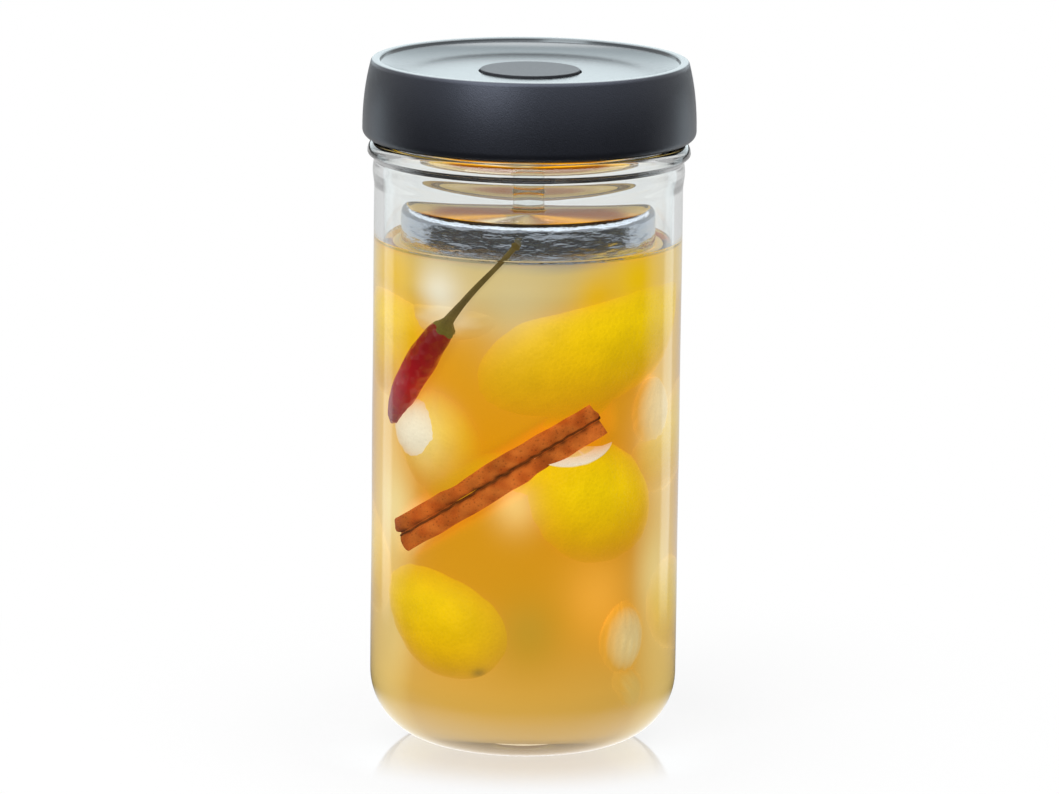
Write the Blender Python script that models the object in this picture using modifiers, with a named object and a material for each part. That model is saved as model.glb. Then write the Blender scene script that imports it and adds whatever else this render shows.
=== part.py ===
"""Fermentation jar: a glass jar with a screw lid, a gas valve and a glass weight.

The jar stands on z = 0 with its axis on +Z. All lengths are in metres.
The lid turns on a four-start thread, and its insert carries the weight's socket.
"""

import math

import bmesh
import bpy

# Clearances
GAP = 0.0003
RUNNING_GAP = 0.0005

# Glass jar
JAR_HEIGHT = 0.2303
BODY_RADIUS = 0.05375
WALL = 0.0035
BASE_THICKNESS = 0.0055
CORNER_RADIUS = 0.0240
FOOT_RING_WIDTH = 0.0050
PUSH_UP = 0.0013
PUSH_UP_RAMP = 0.0039
SHOULDER_INSET = 0.00425
SHOULDER_LENGTH = 0.0139
SHOULDER_SWELL = 0.0006
SWELL_BELOW_BEAD = 0.0076
GROOVE_BELOW_BEAD = 0.0039
BEAD_BELOW_THREAD = 0.0124
BEAD_PAST_NECK = 0.00675
BEAD_HALF_DEPTH = 0.0026
NECK_WALL = 0.0035
NECK_FILLET = 0.0026

# Thread
STARTS = 4
LEAD = 0.0240
THREAD_DEPTH = 0.0015
RIB_ROOT = 0.0022
RIB_CREST = 0.0012
THREAD_BELOW_RIM = 0.0085
JAR_RIB_SPAN = 80.0
LID_RIB_SPAN = 50.0
RIB_FADE = 0.2
RIB_SUNK = 0.0007
RIB_BURIED = 0.0005
RIB_STEPS = 10

# Lid shell
LID_TAPER = 0.00295
TAPER_POWER = 2.2
SKIRT_ABOVE_BEAD = 0.0012
SHELL_WALL = 0.0018
PLATE_THICKNESS = 0.0020
RECESS_DEPTH = 0.0040
RIM_WIDTH = 0.0030
RIM_ROUNDING = 0.0006
COVE_RADIUS = 0.0028
LIP_RADIUS = 0.0030
LIP_THICKNESS = 0.0015

# Lid insert
INSERT_TOP_THICKNESS = 0.0014
INSERT_WALL = 0.0015
FLANGE_THICKNESS = 0.0013
GUIDE_LIP_DEPTH = 0.0022
GUIDE_LIP_WALL = 0.0012
CHAMBER_WALL = 0.0013
CHAMBER_FLOOR = 0.0014
HUB_WALL = 0.0013
HUB_LENGTH = 0.0187
HUB_VENTS = 6
HUB_VENT_RADIUS = 0.0015

# Gasket
GASKET_THICKNESS = 0.0018
GASKET_OVERHANG = 0.0007
GASKET_EDGE = 0.00045

# Valve
BUTTON_RADIUS = 0.0173
BUTTON_PROUD = 0.0008
BUTTON_TOP_THICKNESS = 0.0011
BUTTON_SKIRT = 0.0012
BUTTON_ROUNDING = 0.0003
BUTTON_BOSS_RADIUS = 0.0040
POCKET_DEPTH = 0.0020
POCKET_FLOOR = 0.0014
POCKET_WALL = 0.0012
MEMBRANE_CLEARANCE = 0.0036
MEMBRANE_THICKNESS = 0.0008
VALVE_STEM_RADIUS = 0.0020
BULB_GRIP = 0.0011
BULB_CLEARANCE = 0.0017
VALVE_LIFT = 0.0010
SEAT_VENTS = 6
SEAT_VENT_RADIUS = 0.0012

# Weight and its socket
WEIGHT_CLEARANCE = 0.0015
WEIGHT_THICKNESS = 0.0175
WEIGHT_EDGE = 0.0030
WEIGHT_BELOW_RIM = 0.0403
STEM_RADIUS = 0.00545
STEM_ROUNDING = 0.0014
STEM_GRIP = 0.0050
STEM_FILLET = 0.0025
SLEEVE_WALL = 0.0022
SLEEVE_TOP = 0.0020
SLEEVE_HEADROOM = 0.0047
SLEEVE_LIP = 0.00125
SLEEVE_GROOVE_DEPTH = 0.0006
SLEEVE_GROOVE_LENGTH = 0.0013
SLEEVE_PROUD = 0.0005

# Facets round each turned piece, and the angle in degrees past which an edge is sharp
JAR_FACETS = 56
LID_FACETS = 56
SMALL_FACETS = 40
TINY_FACETS = 28
DRILL_FACETS = 12
SHARP_EDGE = 35.0

# Radii that follow from the sizes above: the body's width decides the mouth, the neck and the lid
MOUTH_RADIUS = BODY_RADIUS - WALL - SHOULDER_INSET
NECK_RADIUS = MOUTH_RADIUS + NECK_WALL
BEAD_RADIUS = NECK_RADIUS + BEAD_PAST_NECK
THREAD_CREST = NECK_RADIUS + THREAD_DEPTH
LID_THREAD_CREST = NECK_RADIUS + RUNNING_GAP
INSERT_INNER = THREAD_CREST + RUNNING_GAP
INSERT_OUTER = INSERT_INNER + INSERT_WALL
LID_RADIUS = INSERT_OUTER + GAP + SHELL_WALL + LID_TAPER
WEIGHT_RADIUS = MOUTH_RADIUS - WEIGHT_CLEARANCE
POCKET_RADIUS = BUTTON_RADIUS + RUNNING_GAP
POCKET_OUTER = POCKET_RADIUS + POCKET_WALL
CHAMBER_RADIUS = POCKET_OUTER + GAP
MEMBRANE_RADIUS = BUTTON_RADIUS - BUTTON_SKIRT - MEMBRANE_CLEARANCE
SEAT_VENT_CIRCLE = (MEMBRANE_RADIUS + VALVE_STEM_RADIUS) / 2.0
BULB_RADIUS = VALVE_STEM_RADIUS + BULB_GRIP
SLEEVE_BORE = STEM_RADIUS + GAP
SLEEVE_RADIUS = SLEEVE_BORE + SLEEVE_WALL
HUB_BORE = SLEEVE_RADIUS + GAP
HUB_RADIUS = HUB_BORE + HUB_WALL

# Heights of the glass that follow: the thread is set from the rim, and the bead from the thread
JAR_THREAD_HEIGHT = JAR_HEIGHT - THREAD_BELOW_RIM
BEAD_HEIGHT = JAR_THREAD_HEIGHT - BEAD_BELOW_THREAD
BEAD_TOP = BEAD_HEIGHT + BEAD_HALF_DEPTH
SHOULDER_HEIGHT = BEAD_HEIGHT - SHOULDER_LENGTH

# Heights of the lid that follow: it is stacked on the rim, and its skirt ends just over the bead
GASKET_LOW = JAR_HEIGHT + GAP
GASKET_TOP = GASKET_LOW + GASKET_THICKNESS
INSERT_LOW = GASKET_TOP + GAP
INSERT_TOP = INSERT_LOW + INSERT_TOP_THICKNESS
PLATE_LOW = INSERT_TOP + GAP
PLATE_TOP = PLATE_LOW + PLATE_THICKNESS
LID_TOP = PLATE_TOP + RECESS_DEPTH
SKIRT_LOW = BEAD_TOP + SKIRT_ABOVE_BEAD
SKIRT_FOOT = SKIRT_LOW + LIP_RADIUS
FLANGE_LOW = SKIRT_FOOT + GAP
POCKET_TOP = PLATE_TOP - POCKET_DEPTH
POCKET_LOW = POCKET_TOP - POCKET_FLOOR
BULB_TOP = POCKET_LOW - VALVE_LIFT - GAP
CHAMBER_TOP = BULB_TOP - BULB_RADIUS - BULB_CLEARANCE
CHAMBER_LOW = CHAMBER_TOP - CHAMBER_FLOOR

# Heights of the hub, the sleeve in it and the weight that hangs from them
HUB_LOW = CHAMBER_LOW - HUB_LENGTH
SLEEVE_LOW = HUB_LOW - SLEEVE_PROUD
STEM_TOP = SLEEVE_LOW + STEM_GRIP
BORE_TOP = STEM_TOP + SLEEVE_HEADROOM
SLEEVE_HIGH = BORE_TOP + SLEEVE_TOP
WEIGHT_TOP = JAR_HEIGHT - WEIGHT_BELOW_RIM
WEIGHT_LOW = WEIGHT_TOP - WEIGHT_THICKNESS


def clear_scene():
    """Removes every object, so that the script can be run again in an open file."""
    for old in list(bpy.data.objects):
        bpy.data.objects.remove(old, do_unlink=True)


def new_collection(name):
    """Makes a collection under the scene's own."""
    made = bpy.data.collections.new(name)
    bpy.context.scene.collection.children.link(made)
    return made


def plain_material(name, colour, roughness, alpha=1.0, transmission=0.0):
    """Makes a Principled material with the piece's own colour and roughness."""
    made = bpy.data.materials.new(name)
    made.use_nodes = True
    shader = made.node_tree.nodes["Principled BSDF"]
    shader.inputs["Base Color"].default_value = (*colour, 1.0)
    shader.inputs["Roughness"].default_value = roughness
    shader.inputs["Metallic"].default_value = 0.0
    shader.inputs["Alpha"].default_value = alpha
    shader.inputs["Transmission Weight"].default_value = transmission
    made.diffuse_color = (*colour, alpha)
    return made


def arc(centre_x, centre_z, radius, start, end, steps):
    """Points on an arc, from the start angle to the end angle in degrees, both ends included."""
    points = []
    for step in range(steps + 1):
        angle = math.radians(start + (end - start) * step / steps)
        points.append((centre_x + radius * math.cos(angle), centre_z + radius * math.sin(angle)))
    return points


def s_curve(start, end, steps):
    """Points that leave start and reach end along Z, following half a cosine wave."""
    points = []
    for step in range(steps + 1):
        share = step / steps
        blend = (1.0 - math.cos(math.pi * share)) / 2.0
        points.append((start[0] + (end[0] - start[0]) * blend, start[1] + (end[1] - start[1]) * share))
    return points


def distinct(points):
    """The same points without any that repeats the one before it."""
    kept = [points[0]]
    for point in points[1:]:
        if math.dist(point, kept[-1]) > 1e-6:
            kept.append(point)
    return kept


def turned(name, profile, facets, collection, closed):
    """Turns a profile in the XZ plane round the Z axis with a Screw modifier."""
    points = distinct(profile)
    last = len(points) - 1
    edges = [(index, index + 1) for index in range(last)]
    if closed:
        edges.append((last, 0))
    mesh = bpy.data.meshes.new(name)
    mesh.from_pydata([(x, 0.0, z) for x, z in points], edges, [])
    made = bpy.data.objects.new(name, mesh)
    collection.objects.link(made)
    screw = made.modifiers.new("Turn", "SCREW")
    screw.axis = "Z"
    screw.angle = math.tau
    screw.steps = facets
    screw.render_steps = facets
    screw.use_merge_vertices = True
    screw.merge_threshold = 0.00001
    screw.use_smooth_shade = True
    return made


def combine(target, operand, operation):
    """Adds an exact Boolean with a helper object, which isn't rendered."""
    operand.hide_render = True
    operand.display_type = "WIRE"
    boolean = target.modifiers.new(operand.name, "BOOLEAN")
    boolean.operation = operation
    boolean.solver = "EXACT"
    boolean.object = operand


def finish(piece, material):
    """Applies a piece's modifiers, then shades it smooth except across its sharp edges."""
    graph = bpy.context.evaluated_depsgraph_get()
    solid = bpy.data.meshes.new_from_object(piece.evaluated_get(graph))
    piece.modifiers.clear()
    piece.data = solid
    solid.name = piece.name
    solid.materials.clear()
    solid.materials.append(material)
    solid.shade_smooth()
    solid.set_sharp_from_angle(angle=math.radians(SHARP_EDGE))


def fade(share):
    """Rises from 0 to 1 over the first part of a rib and falls back over the last."""
    level = min(1.0, share / RIB_FADE, (1.0 - share) / RIB_FADE)
    return (1.0 - math.cos(math.pi * level)) / 2.0


def rib_section(angle, share, root, crest, buried, middle):
    """Four corners of a rib's cross section at one angle: root and crest, top and bottom."""
    tip = buried + (crest - buried) * fade(share)
    corners = []
    for radius, height in ((root, RIB_ROOT), (tip, RIB_CREST), (tip, -RIB_CREST), (root, -RIB_ROOT)):
        corners.append((radius * math.cos(angle), radius * math.sin(angle), middle + height / 2.0))
    return corners


def thread_ribs(name, root, crest, surface, middle, span, collection):
    """One helical rib for each start, rising with the angle at the thread's lead.

    Each rib fades into the surface at both ends, where its tip is buried in the wall.
    """
    shape = bmesh.new()
    inward = 1.0 if crest < root else -1.0
    buried = surface + inward * RIB_BURIED
    for start in range(STARTS):
        first = math.tau * start / STARTS - math.radians(span) / 2.0
        rings = []
        for step in range(RIB_STEPS + 1):
            share = step / RIB_STEPS
            turn = math.radians(span) * share
            rise = LEAD * (turn - math.radians(span) / 2.0) / math.tau
            corners = rib_section(first + turn, share, root, crest, buried, middle + rise)
            rings.append([shape.verts.new(corner) for corner in corners])
        for near, far in zip(rings, rings[1:]):
            for side in range(4):
                after = (side + 1) % 4
                shape.faces.new((near[side], near[after], far[after], far[side]))
        shape.faces.new(rings[0])
        shape.faces.new(rings[-1])
    bmesh.ops.recalc_face_normals(shape, faces=shape.faces)
    mesh = bpy.data.meshes.new(name)
    shape.to_mesh(mesh)
    shape.free()
    made = bpy.data.objects.new(name, mesh)
    collection.objects.link(made)
    return made


def vent_drills(name, count, radius, circle, low, high, collection):
    """Upright cylinders on a circle, which cut the vent holes."""
    shape = bmesh.new()
    for number in range(count):
        angle = math.tau * number / count
        made = bmesh.ops.create_cone(
            shape,
            cap_ends=True,
            segments=DRILL_FACETS,
            radius1=radius,
            radius2=radius,
            depth=high - low,
        )
        shift = (circle * math.cos(angle), circle * math.sin(angle), (low + high) / 2.0)
        bmesh.ops.translate(shape, vec=shift, verts=made["verts"])
    mesh = bpy.data.meshes.new(name)
    shape.to_mesh(mesh)
    shape.free()
    drills = bpy.data.objects.new(name, mesh)
    collection.objects.link(drills)
    return drills


def jar_inside():
    """The inner wall, from the middle of the base up to the mouth."""
    radius = BODY_RADIUS - WALL
    corner = CORNER_RADIUS - WALL
    points = [(0.0, BASE_THICKNESS)]
    points += arc(radius - corner, BASE_THICKNESS + corner, corner, -90.0, 0.0, 5)
    points += s_curve((radius, SHOULDER_HEIGHT), (MOUTH_RADIUS, BEAD_HEIGHT), 4)
    return points


def jar_rim():
    """The rounded rim, from its inner side over the top to its outer side."""
    rounding = NECK_WALL / 2.0
    return arc(MOUTH_RADIUS + rounding, JAR_HEIGHT - rounding, rounding, 180.0, 0.0, 5)


def jar_bead():
    """The fillet at the neck's foot and the bead below it."""
    points = arc(NECK_RADIUS + NECK_FILLET, BEAD_TOP + NECK_FILLET, NECK_FILLET, 180.0, 270.0, 2)
    points += arc(BEAD_RADIUS - BEAD_HALF_DEPTH, BEAD_HEIGHT, BEAD_HALF_DEPTH, 90.0, -60.0, 5)
    return points


def jar_shoulder():
    """The shallow groove under the bead and the slight swell of the shoulder."""
    points = [(BODY_RADIUS + SHOULDER_SWELL / 2.0, BEAD_HEIGHT - GROOVE_BELOW_BEAD)]
    swell = (BODY_RADIUS + SHOULDER_SWELL, BEAD_HEIGHT - SWELL_BELOW_BEAD)
    points += s_curve(swell, (BODY_RADIUS, SHOULDER_HEIGHT), 3)
    return points


def jar_foot():
    """The rounded corner, the ring that the jar stands on and the raised middle of the base."""
    ring_outer = BODY_RADIUS - CORNER_RADIUS
    ring_inner = ring_outer - FOOT_RING_WIDTH
    points = arc(ring_outer, CORNER_RADIUS, CORNER_RADIUS, 0.0, -90.0, 7)
    points += [(ring_inner, 0.0), (ring_inner - PUSH_UP_RAMP, PUSH_UP), (0.0, PUSH_UP)]
    return points


def make_jar(parts, cutters):
    """The glass jar: one open shell with four thread ribs on its neck."""
    profile = jar_inside() + jar_rim() + jar_bead() + jar_shoulder() + jar_foot()
    jar = turned("glass_jar", profile, JAR_FACETS, parts, closed=False)
    ribs = thread_ribs(
        "jar_thread_ribs",
        NECK_RADIUS - RIB_SUNK,
        THREAD_CREST,
        NECK_RADIUS,
        JAR_THREAD_HEIGHT,
        JAR_RIB_SPAN,
        cutters,
    )
    combine(jar, ribs, "UNION")
    finish(jar, plain_material("clear soda lime glass", (0.82, 0.90, 0.88), 0.05, 0.35, 1.0))
    return jar


def skirt_radius(height):
    """The skirt's outer radius: widest at its foot, drawn in towards the rim by a power curve."""
    share = max(0.0, (height - SKIRT_FOOT) / (LID_TOP - SKIRT_FOOT))
    return LID_RADIUS - LID_TAPER * share**TAPER_POWER


def skirt_side(top, foot, inset, steps):
    """Points down the skirt's side from top to foot, set in by inset."""
    points = []
    for step in range(steps + 1):
        height = top + (foot - top) * step / steps
        points.append((skirt_radius(height) - inset, height))
    return points


def shell_outside():
    """The rim's rounded edge, the skirt's side and the lip that rolls in under it."""
    top_radius = skirt_radius(LID_TOP)
    points = arc(top_radius - RIM_ROUNDING, LID_TOP - RIM_ROUNDING, RIM_ROUNDING, 90.0, 30.0, 2)
    points += skirt_side(LID_TOP - 2.0 * RIM_ROUNDING, SKIRT_FOOT, 0.0, 5)
    points += arc(LID_RADIUS - LIP_RADIUS, SKIRT_FOOT, LIP_RADIUS, 0.0, -90.0, 4)
    return points


def shell_inside():
    """The inner side, from the lip up under the plate to the valve pocket's hole."""
    points = [(LID_RADIUS - LIP_RADIUS, SKIRT_LOW + LIP_THICKNESS)]
    points += reversed(skirt_side(PLATE_LOW, SKIRT_FOOT, SHELL_WALL, 2))
    points += [
        (POCKET_OUTER, PLATE_LOW),
        (POCKET_OUTER, POCKET_LOW),
        (VALVE_STEM_RADIUS + RUNNING_GAP, POCKET_LOW),
    ]
    return points


def shell_top():
    """The pocket's floor and wall, the plate, and the cove that rises to the rim."""
    rim_inner = skirt_radius(LID_TOP) - RIM_WIDTH
    # The cove is a fillet, so it can't be higher than the recess's own wall.
    cove = min(COVE_RADIUS, RECESS_DEPTH - RIM_ROUNDING)
    points = [
        (VALVE_STEM_RADIUS + RUNNING_GAP, POCKET_TOP),
        (POCKET_RADIUS, POCKET_TOP),
        (POCKET_RADIUS, PLATE_TOP),
    ]
    points += arc(rim_inner - cove, PLATE_TOP + cove, cove, -90.0, 0.0, 3)
    points.append((rim_inner, LID_TOP - RIM_ROUNDING))
    points.append((rim_inner + RIM_ROUNDING, LID_TOP))
    return points


def make_shell(parts, cutters):
    """The lid's outer cap, with the valve's pocket and vents in the middle of its plate."""
    profile = shell_outside() + shell_inside() + shell_top()
    shell = turned("lid_shell", profile, LID_FACETS, parts, closed=True)
    drills = vent_drills(
        "seat_vent_drills",
        SEAT_VENTS,
        SEAT_VENT_RADIUS,
        SEAT_VENT_CIRCLE,
        POCKET_LOW - POCKET_FLOOR,
        POCKET_TOP + POCKET_FLOOR,
        cutters,
    )
    combine(shell, drills, "DIFFERENCE")
    finish(shell, plain_material("black satin polypropylene", (0.035, 0.036, 0.042), 0.38))
    return shell


def insert_profile():
    """The insert's section: flange, threaded wall, top, valve chamber and hub."""
    flange_radius = LID_RADIUS - SHELL_WALL - GAP
    guide_outer = MOUTH_RADIUS - RUNNING_GAP - GAP
    guide_inner = guide_outer - GUIDE_LIP_WALL
    chamber_outer = CHAMBER_RADIUS + CHAMBER_WALL
    outside = [
        (INSERT_OUTER, INSERT_TOP),
        (INSERT_OUTER, FLANGE_LOW + FLANGE_THICKNESS),
        (flange_radius, FLANGE_LOW + FLANGE_THICKNESS),
        (flange_radius, FLANGE_LOW),
    ]
    underside = [
        (INSERT_INNER, FLANGE_LOW),
        (INSERT_INNER, INSERT_LOW),
        (guide_outer, INSERT_LOW),
        (guide_outer, INSERT_LOW - GASKET_THICKNESS - GUIDE_LIP_DEPTH),
        (guide_inner, INSERT_LOW - GASKET_THICKNESS - GUIDE_LIP_DEPTH),
        (guide_inner, INSERT_LOW),
        (chamber_outer, INSERT_LOW),
        (chamber_outer, CHAMBER_LOW),
        (HUB_RADIUS, CHAMBER_LOW),
        (HUB_RADIUS, HUB_LOW),
    ]
    inside = [
        (HUB_BORE, HUB_LOW),
        (HUB_BORE, SLEEVE_HIGH + GAP),
        (0.0, SLEEVE_HIGH + GAP),
        (0.0, CHAMBER_TOP),
        (CHAMBER_RADIUS, CHAMBER_TOP),
        (CHAMBER_RADIUS, INSERT_TOP),
    ]
    return outside, underside, inside


def make_insert(parts, cutters):
    """The lid's inner cap: it has the female thread, the gasket's seat and the weight's hub."""
    outside, underside, inside = insert_profile()
    # The open profile starts and ends on the axis, at the chamber's floor and the hub's ceiling.
    profile = inside[3:] + outside + underside + inside[:3]
    insert = turned("thread_insert", profile, LID_FACETS, parts, closed=False)
    bearing_drop = (RIB_ROOT + RIB_CREST) / 2.0 + GAP
    ribs = thread_ribs(
        "lid_thread_ribs",
        INSERT_INNER + RIB_SUNK,
        LID_THREAD_CREST,
        INSERT_INNER,
        JAR_THREAD_HEIGHT - bearing_drop,
        LID_RIB_SPAN,
        cutters,
    )
    combine(insert, ribs, "UNION")
    drills = vent_drills(
        "hub_vent_drills",
        HUB_VENTS,
        HUB_VENT_RADIUS,
        (HUB_RADIUS + CHAMBER_RADIUS) / 2.0,
        CHAMBER_LOW - CHAMBER_FLOOR,
        CHAMBER_TOP + CHAMBER_FLOOR,
        cutters,
    )
    combine(insert, drills, "DIFFERENCE")
    finish(insert, plain_material("black moulded polypropylene", (0.045, 0.045, 0.050), 0.5))
    return insert


def make_gasket(parts):
    """The flat silicone ring between the rim and the insert, with rounded edges."""
    inner = MOUTH_RADIUS - GASKET_OVERHANG + GAP
    outer = NECK_RADIUS + GASKET_OVERHANG
    profile = [
        (inner + GASKET_EDGE, GASKET_TOP),
        (outer - GASKET_EDGE, GASKET_TOP),
        (outer, GASKET_TOP - GASKET_EDGE),
        (outer, GASKET_LOW + GASKET_EDGE),
        (outer - GASKET_EDGE, GASKET_LOW),
        (inner + GASKET_EDGE, GASKET_LOW),
        (inner, GASKET_LOW + GASKET_EDGE),
        (inner, GASKET_TOP - GASKET_EDGE),
    ]
    gasket = turned("lid_gasket", profile, LID_FACETS, parts, closed=True)
    finish(gasket, plain_material("white silicone", (0.80, 0.80, 0.78), 0.55))
    return gasket


def make_button(parts):
    """The valve's visible button: a flat cap with a short skirt and a centre boss."""
    top = PLATE_TOP + BUTTON_PROUD
    low = POCKET_TOP + GAP
    inner = BUTTON_RADIUS - BUTTON_SKIRT
    ceiling = top - BUTTON_TOP_THICKNESS
    boss_low = low + MEMBRANE_THICKNESS + GAP
    profile = [(0.0, top)]
    profile += arc(BUTTON_RADIUS - BUTTON_ROUNDING, top - BUTTON_ROUNDING, BUTTON_ROUNDING, 90.0, 0.0, 3)
    profile += [
        (BUTTON_RADIUS, low),
        (inner, low),
        (inner, ceiling),
        (BUTTON_BOSS_RADIUS, ceiling),
        (BUTTON_BOSS_RADIUS, boss_low),
        (0.0, boss_low),
    ]
    button = turned("valve_button", profile, SMALL_FACETS, parts, closed=False)
    finish(button, plain_material("charcoal matte plastic", (0.11, 0.115, 0.12), 0.6))
    return button


def make_membrane(parts):
    """The silicone umbrella: a thin disc over the vents, a stem and the bulb that holds it."""
    low = POCKET_TOP + GAP
    top = low + MEMBRANE_THICKNESS
    profile = [
        (0.0, top),
        (MEMBRANE_RADIUS - MEMBRANE_THICKNESS, top),
        (MEMBRANE_RADIUS, low + MEMBRANE_THICKNESS / 2.0),
        (MEMBRANE_RADIUS, low),
        (VALVE_STEM_RADIUS, low),
        (VALVE_STEM_RADIUS, BULB_TOP),
    ]
    profile += arc(0.0, BULB_TOP, BULB_RADIUS, 0.0, -90.0, 4)
    membrane = turned("valve_membrane", profile, TINY_FACETS, parts, closed=False)
    finish(membrane, plain_material("translucent silicone", (0.72, 0.70, 0.66), 0.5))
    return membrane


def make_sleeve(parts):
    """The silicone sleeve in the hub that grips the weight's stem with two soft lips."""
    wide = SLEEVE_BORE + SLEEVE_GROOVE_DEPTH
    groove_low = SLEEVE_LOW + SLEEVE_LIP + SLEEVE_GROOVE_DEPTH
    groove_top = groove_low + SLEEVE_GROOVE_LENGTH
    profile = [
        (0.0, SLEEVE_HIGH),
        (SLEEVE_RADIUS - SLEEVE_PROUD, SLEEVE_HIGH),
        (SLEEVE_RADIUS, SLEEVE_HIGH - SLEEVE_PROUD),
        (SLEEVE_RADIUS, SLEEVE_LOW + SLEEVE_PROUD),
        (SLEEVE_RADIUS - SLEEVE_PROUD, SLEEVE_LOW),
        (SLEEVE_BORE + SLEEVE_PROUD, SLEEVE_LOW),
        (SLEEVE_BORE, SLEEVE_LOW + SLEEVE_PROUD),
        (SLEEVE_BORE, SLEEVE_LOW + SLEEVE_LIP),
        (wide, groove_low),
        (wide, groove_top),
        (SLEEVE_BORE, groove_top + SLEEVE_GROOVE_DEPTH),
        (SLEEVE_BORE, BORE_TOP),
        (0.0, BORE_TOP),
    ]
    sleeve = turned("weight_socket", profile, TINY_FACETS, parts, closed=False)
    finish(sleeve, plain_material("dark silicone", (0.05, 0.04, 0.035), 0.6))
    return sleeve


def make_weight(parts):
    """The pressed glass weight: a thick disc with fire-polished edges and a round stem."""
    profile = [(0.0, STEM_TOP)]
    profile += arc(STEM_RADIUS - STEM_ROUNDING, STEM_TOP - STEM_ROUNDING, STEM_ROUNDING, 90.0, 0.0, 2)
    profile += arc(STEM_RADIUS + STEM_FILLET, WEIGHT_TOP + STEM_FILLET, STEM_FILLET, 180.0, 270.0, 3)
    profile += arc(WEIGHT_RADIUS - WEIGHT_EDGE, WEIGHT_TOP - WEIGHT_EDGE, WEIGHT_EDGE, 90.0, 0.0, 3)
    profile += arc(WEIGHT_RADIUS - WEIGHT_EDGE, WEIGHT_LOW + WEIGHT_EDGE, WEIGHT_EDGE, 0.0, -90.0, 3)
    profile.append((0.0, WEIGHT_LOW))
    weight = turned("glass_weight", profile, SMALL_FACETS, parts, closed=False)
    finish(weight, plain_material("clear pressed glass", (0.80, 0.88, 0.88), 0.08, 0.35, 1.0))
    return weight


def main():
    clear_scene()
    parts = new_collection("fermentation_jar")
    cutters = new_collection("cutters")
    make_jar(parts, cutters)
    make_gasket(parts)
    make_insert(parts, cutters)
    make_shell(parts, cutters)
    make_membrane(parts)
    make_button(parts)
    make_sleeve(parts)
    make_weight(parts)


main()
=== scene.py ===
# %% [markdown]
# A fermentation jar, dressed for its portrait.
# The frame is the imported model: eight solid pieces at their real size, in metres, with +Z up and the
# jar's foot on z = 0. This lesson gives them their looks. The glass, the weight and the lid's cap get
# finer surfaces than the solids have, because light bends through glass and shows each facet. The
# lemons, the chilli and the cinnamon in their cloudy brine are made here too, since they give the
# clear glass its colour.

import bpy
import numpy as np
from mathutils import Matrix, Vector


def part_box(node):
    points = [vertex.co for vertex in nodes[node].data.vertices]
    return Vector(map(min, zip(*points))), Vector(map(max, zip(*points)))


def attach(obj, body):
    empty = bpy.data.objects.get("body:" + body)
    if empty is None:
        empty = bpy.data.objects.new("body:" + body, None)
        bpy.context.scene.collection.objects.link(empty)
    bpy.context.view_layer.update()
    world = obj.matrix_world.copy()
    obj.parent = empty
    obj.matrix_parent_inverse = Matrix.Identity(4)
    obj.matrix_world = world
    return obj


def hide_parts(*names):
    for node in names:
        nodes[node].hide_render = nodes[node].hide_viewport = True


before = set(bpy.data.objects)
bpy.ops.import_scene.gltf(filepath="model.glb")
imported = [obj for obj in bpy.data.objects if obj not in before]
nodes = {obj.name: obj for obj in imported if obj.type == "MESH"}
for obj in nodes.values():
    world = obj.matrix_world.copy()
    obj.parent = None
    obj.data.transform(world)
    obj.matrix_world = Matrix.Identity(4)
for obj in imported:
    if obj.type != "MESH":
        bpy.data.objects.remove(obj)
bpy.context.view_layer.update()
_, jar_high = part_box("glass_jar")
weight_low, weight_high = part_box("glass_weight")
shell_low, shell_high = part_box("lid_shell")
print("pieces:", sorted(nodes))

# %% [markdown]
# Every new piece is a surface that numpy works out. Most are turned: a profile of radius and height
# goes round the axis. A profile is made of arcs, straight runs and soft S-shaped steps. These short
# functions give their points as whole arrays, and join them with no point twice. Two more give shares
# between 0 and 1, which say where something starts and how softly it comes in.

# %% Profiles and shares
MM = 0.001
TURN = 2.0 * np.pi


def arc(centre, radius, start, end, count):
    """Points at centre + radius * (cos a, sin a), with a from start to end in degrees."""
    angle = np.radians(np.linspace(start, end, count))
    return np.stack([centre[0] + radius * np.cos(angle), centre[1] + radius * np.sin(angle)], axis=1)


def run(start, end, count):
    """Points evenly spaced on the straight line from start to end."""
    return np.linspace(start, end, count)


def step(start, end, count):
    """Points whose height goes evenly from start to end, and whose radius follows half a cosine wave."""
    share = np.linspace(0.0, 1.0, count)
    blend = (1.0 - np.cos(np.pi * share)) / 2.0
    radius = start[0] + (end[0] - start[0]) * blend
    return np.stack([radius, start[1] + (end[1] - start[1]) * share], axis=1)


def joined(*parts):
    """The parts one after another, without any point that repeats the one before it."""
    points = np.concatenate([np.asarray(part, dtype=float) for part in parts])
    gaps = np.linalg.norm(np.diff(points, axis=0), axis=1)
    return points[np.concatenate([[True], gaps > 1e-7])]


def ramp(value, start, end):
    """0 at start and before it, 1 at end and past it, even in between. Start may be the larger one."""
    return np.clip((value - start) / (end - start), 0.0, 1.0)


def eased(share):
    """The S-curve 3 s^2 - 2 s^3, which leaves 0 and reaches 1 without a kink."""
    return share * share * (3.0 - 2.0 * share)


# %% [markdown]
# A grid of points becomes a closed mesh. Columns always join up round the piece. Rows either join up
# too, as on a ring, or end in a pole, where a fan of triangles closes the skin. The volume that the
# faces enclose tells whether they point outwards: if it comes out negative, every face is turned over.

# %% Grids into meshes


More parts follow.
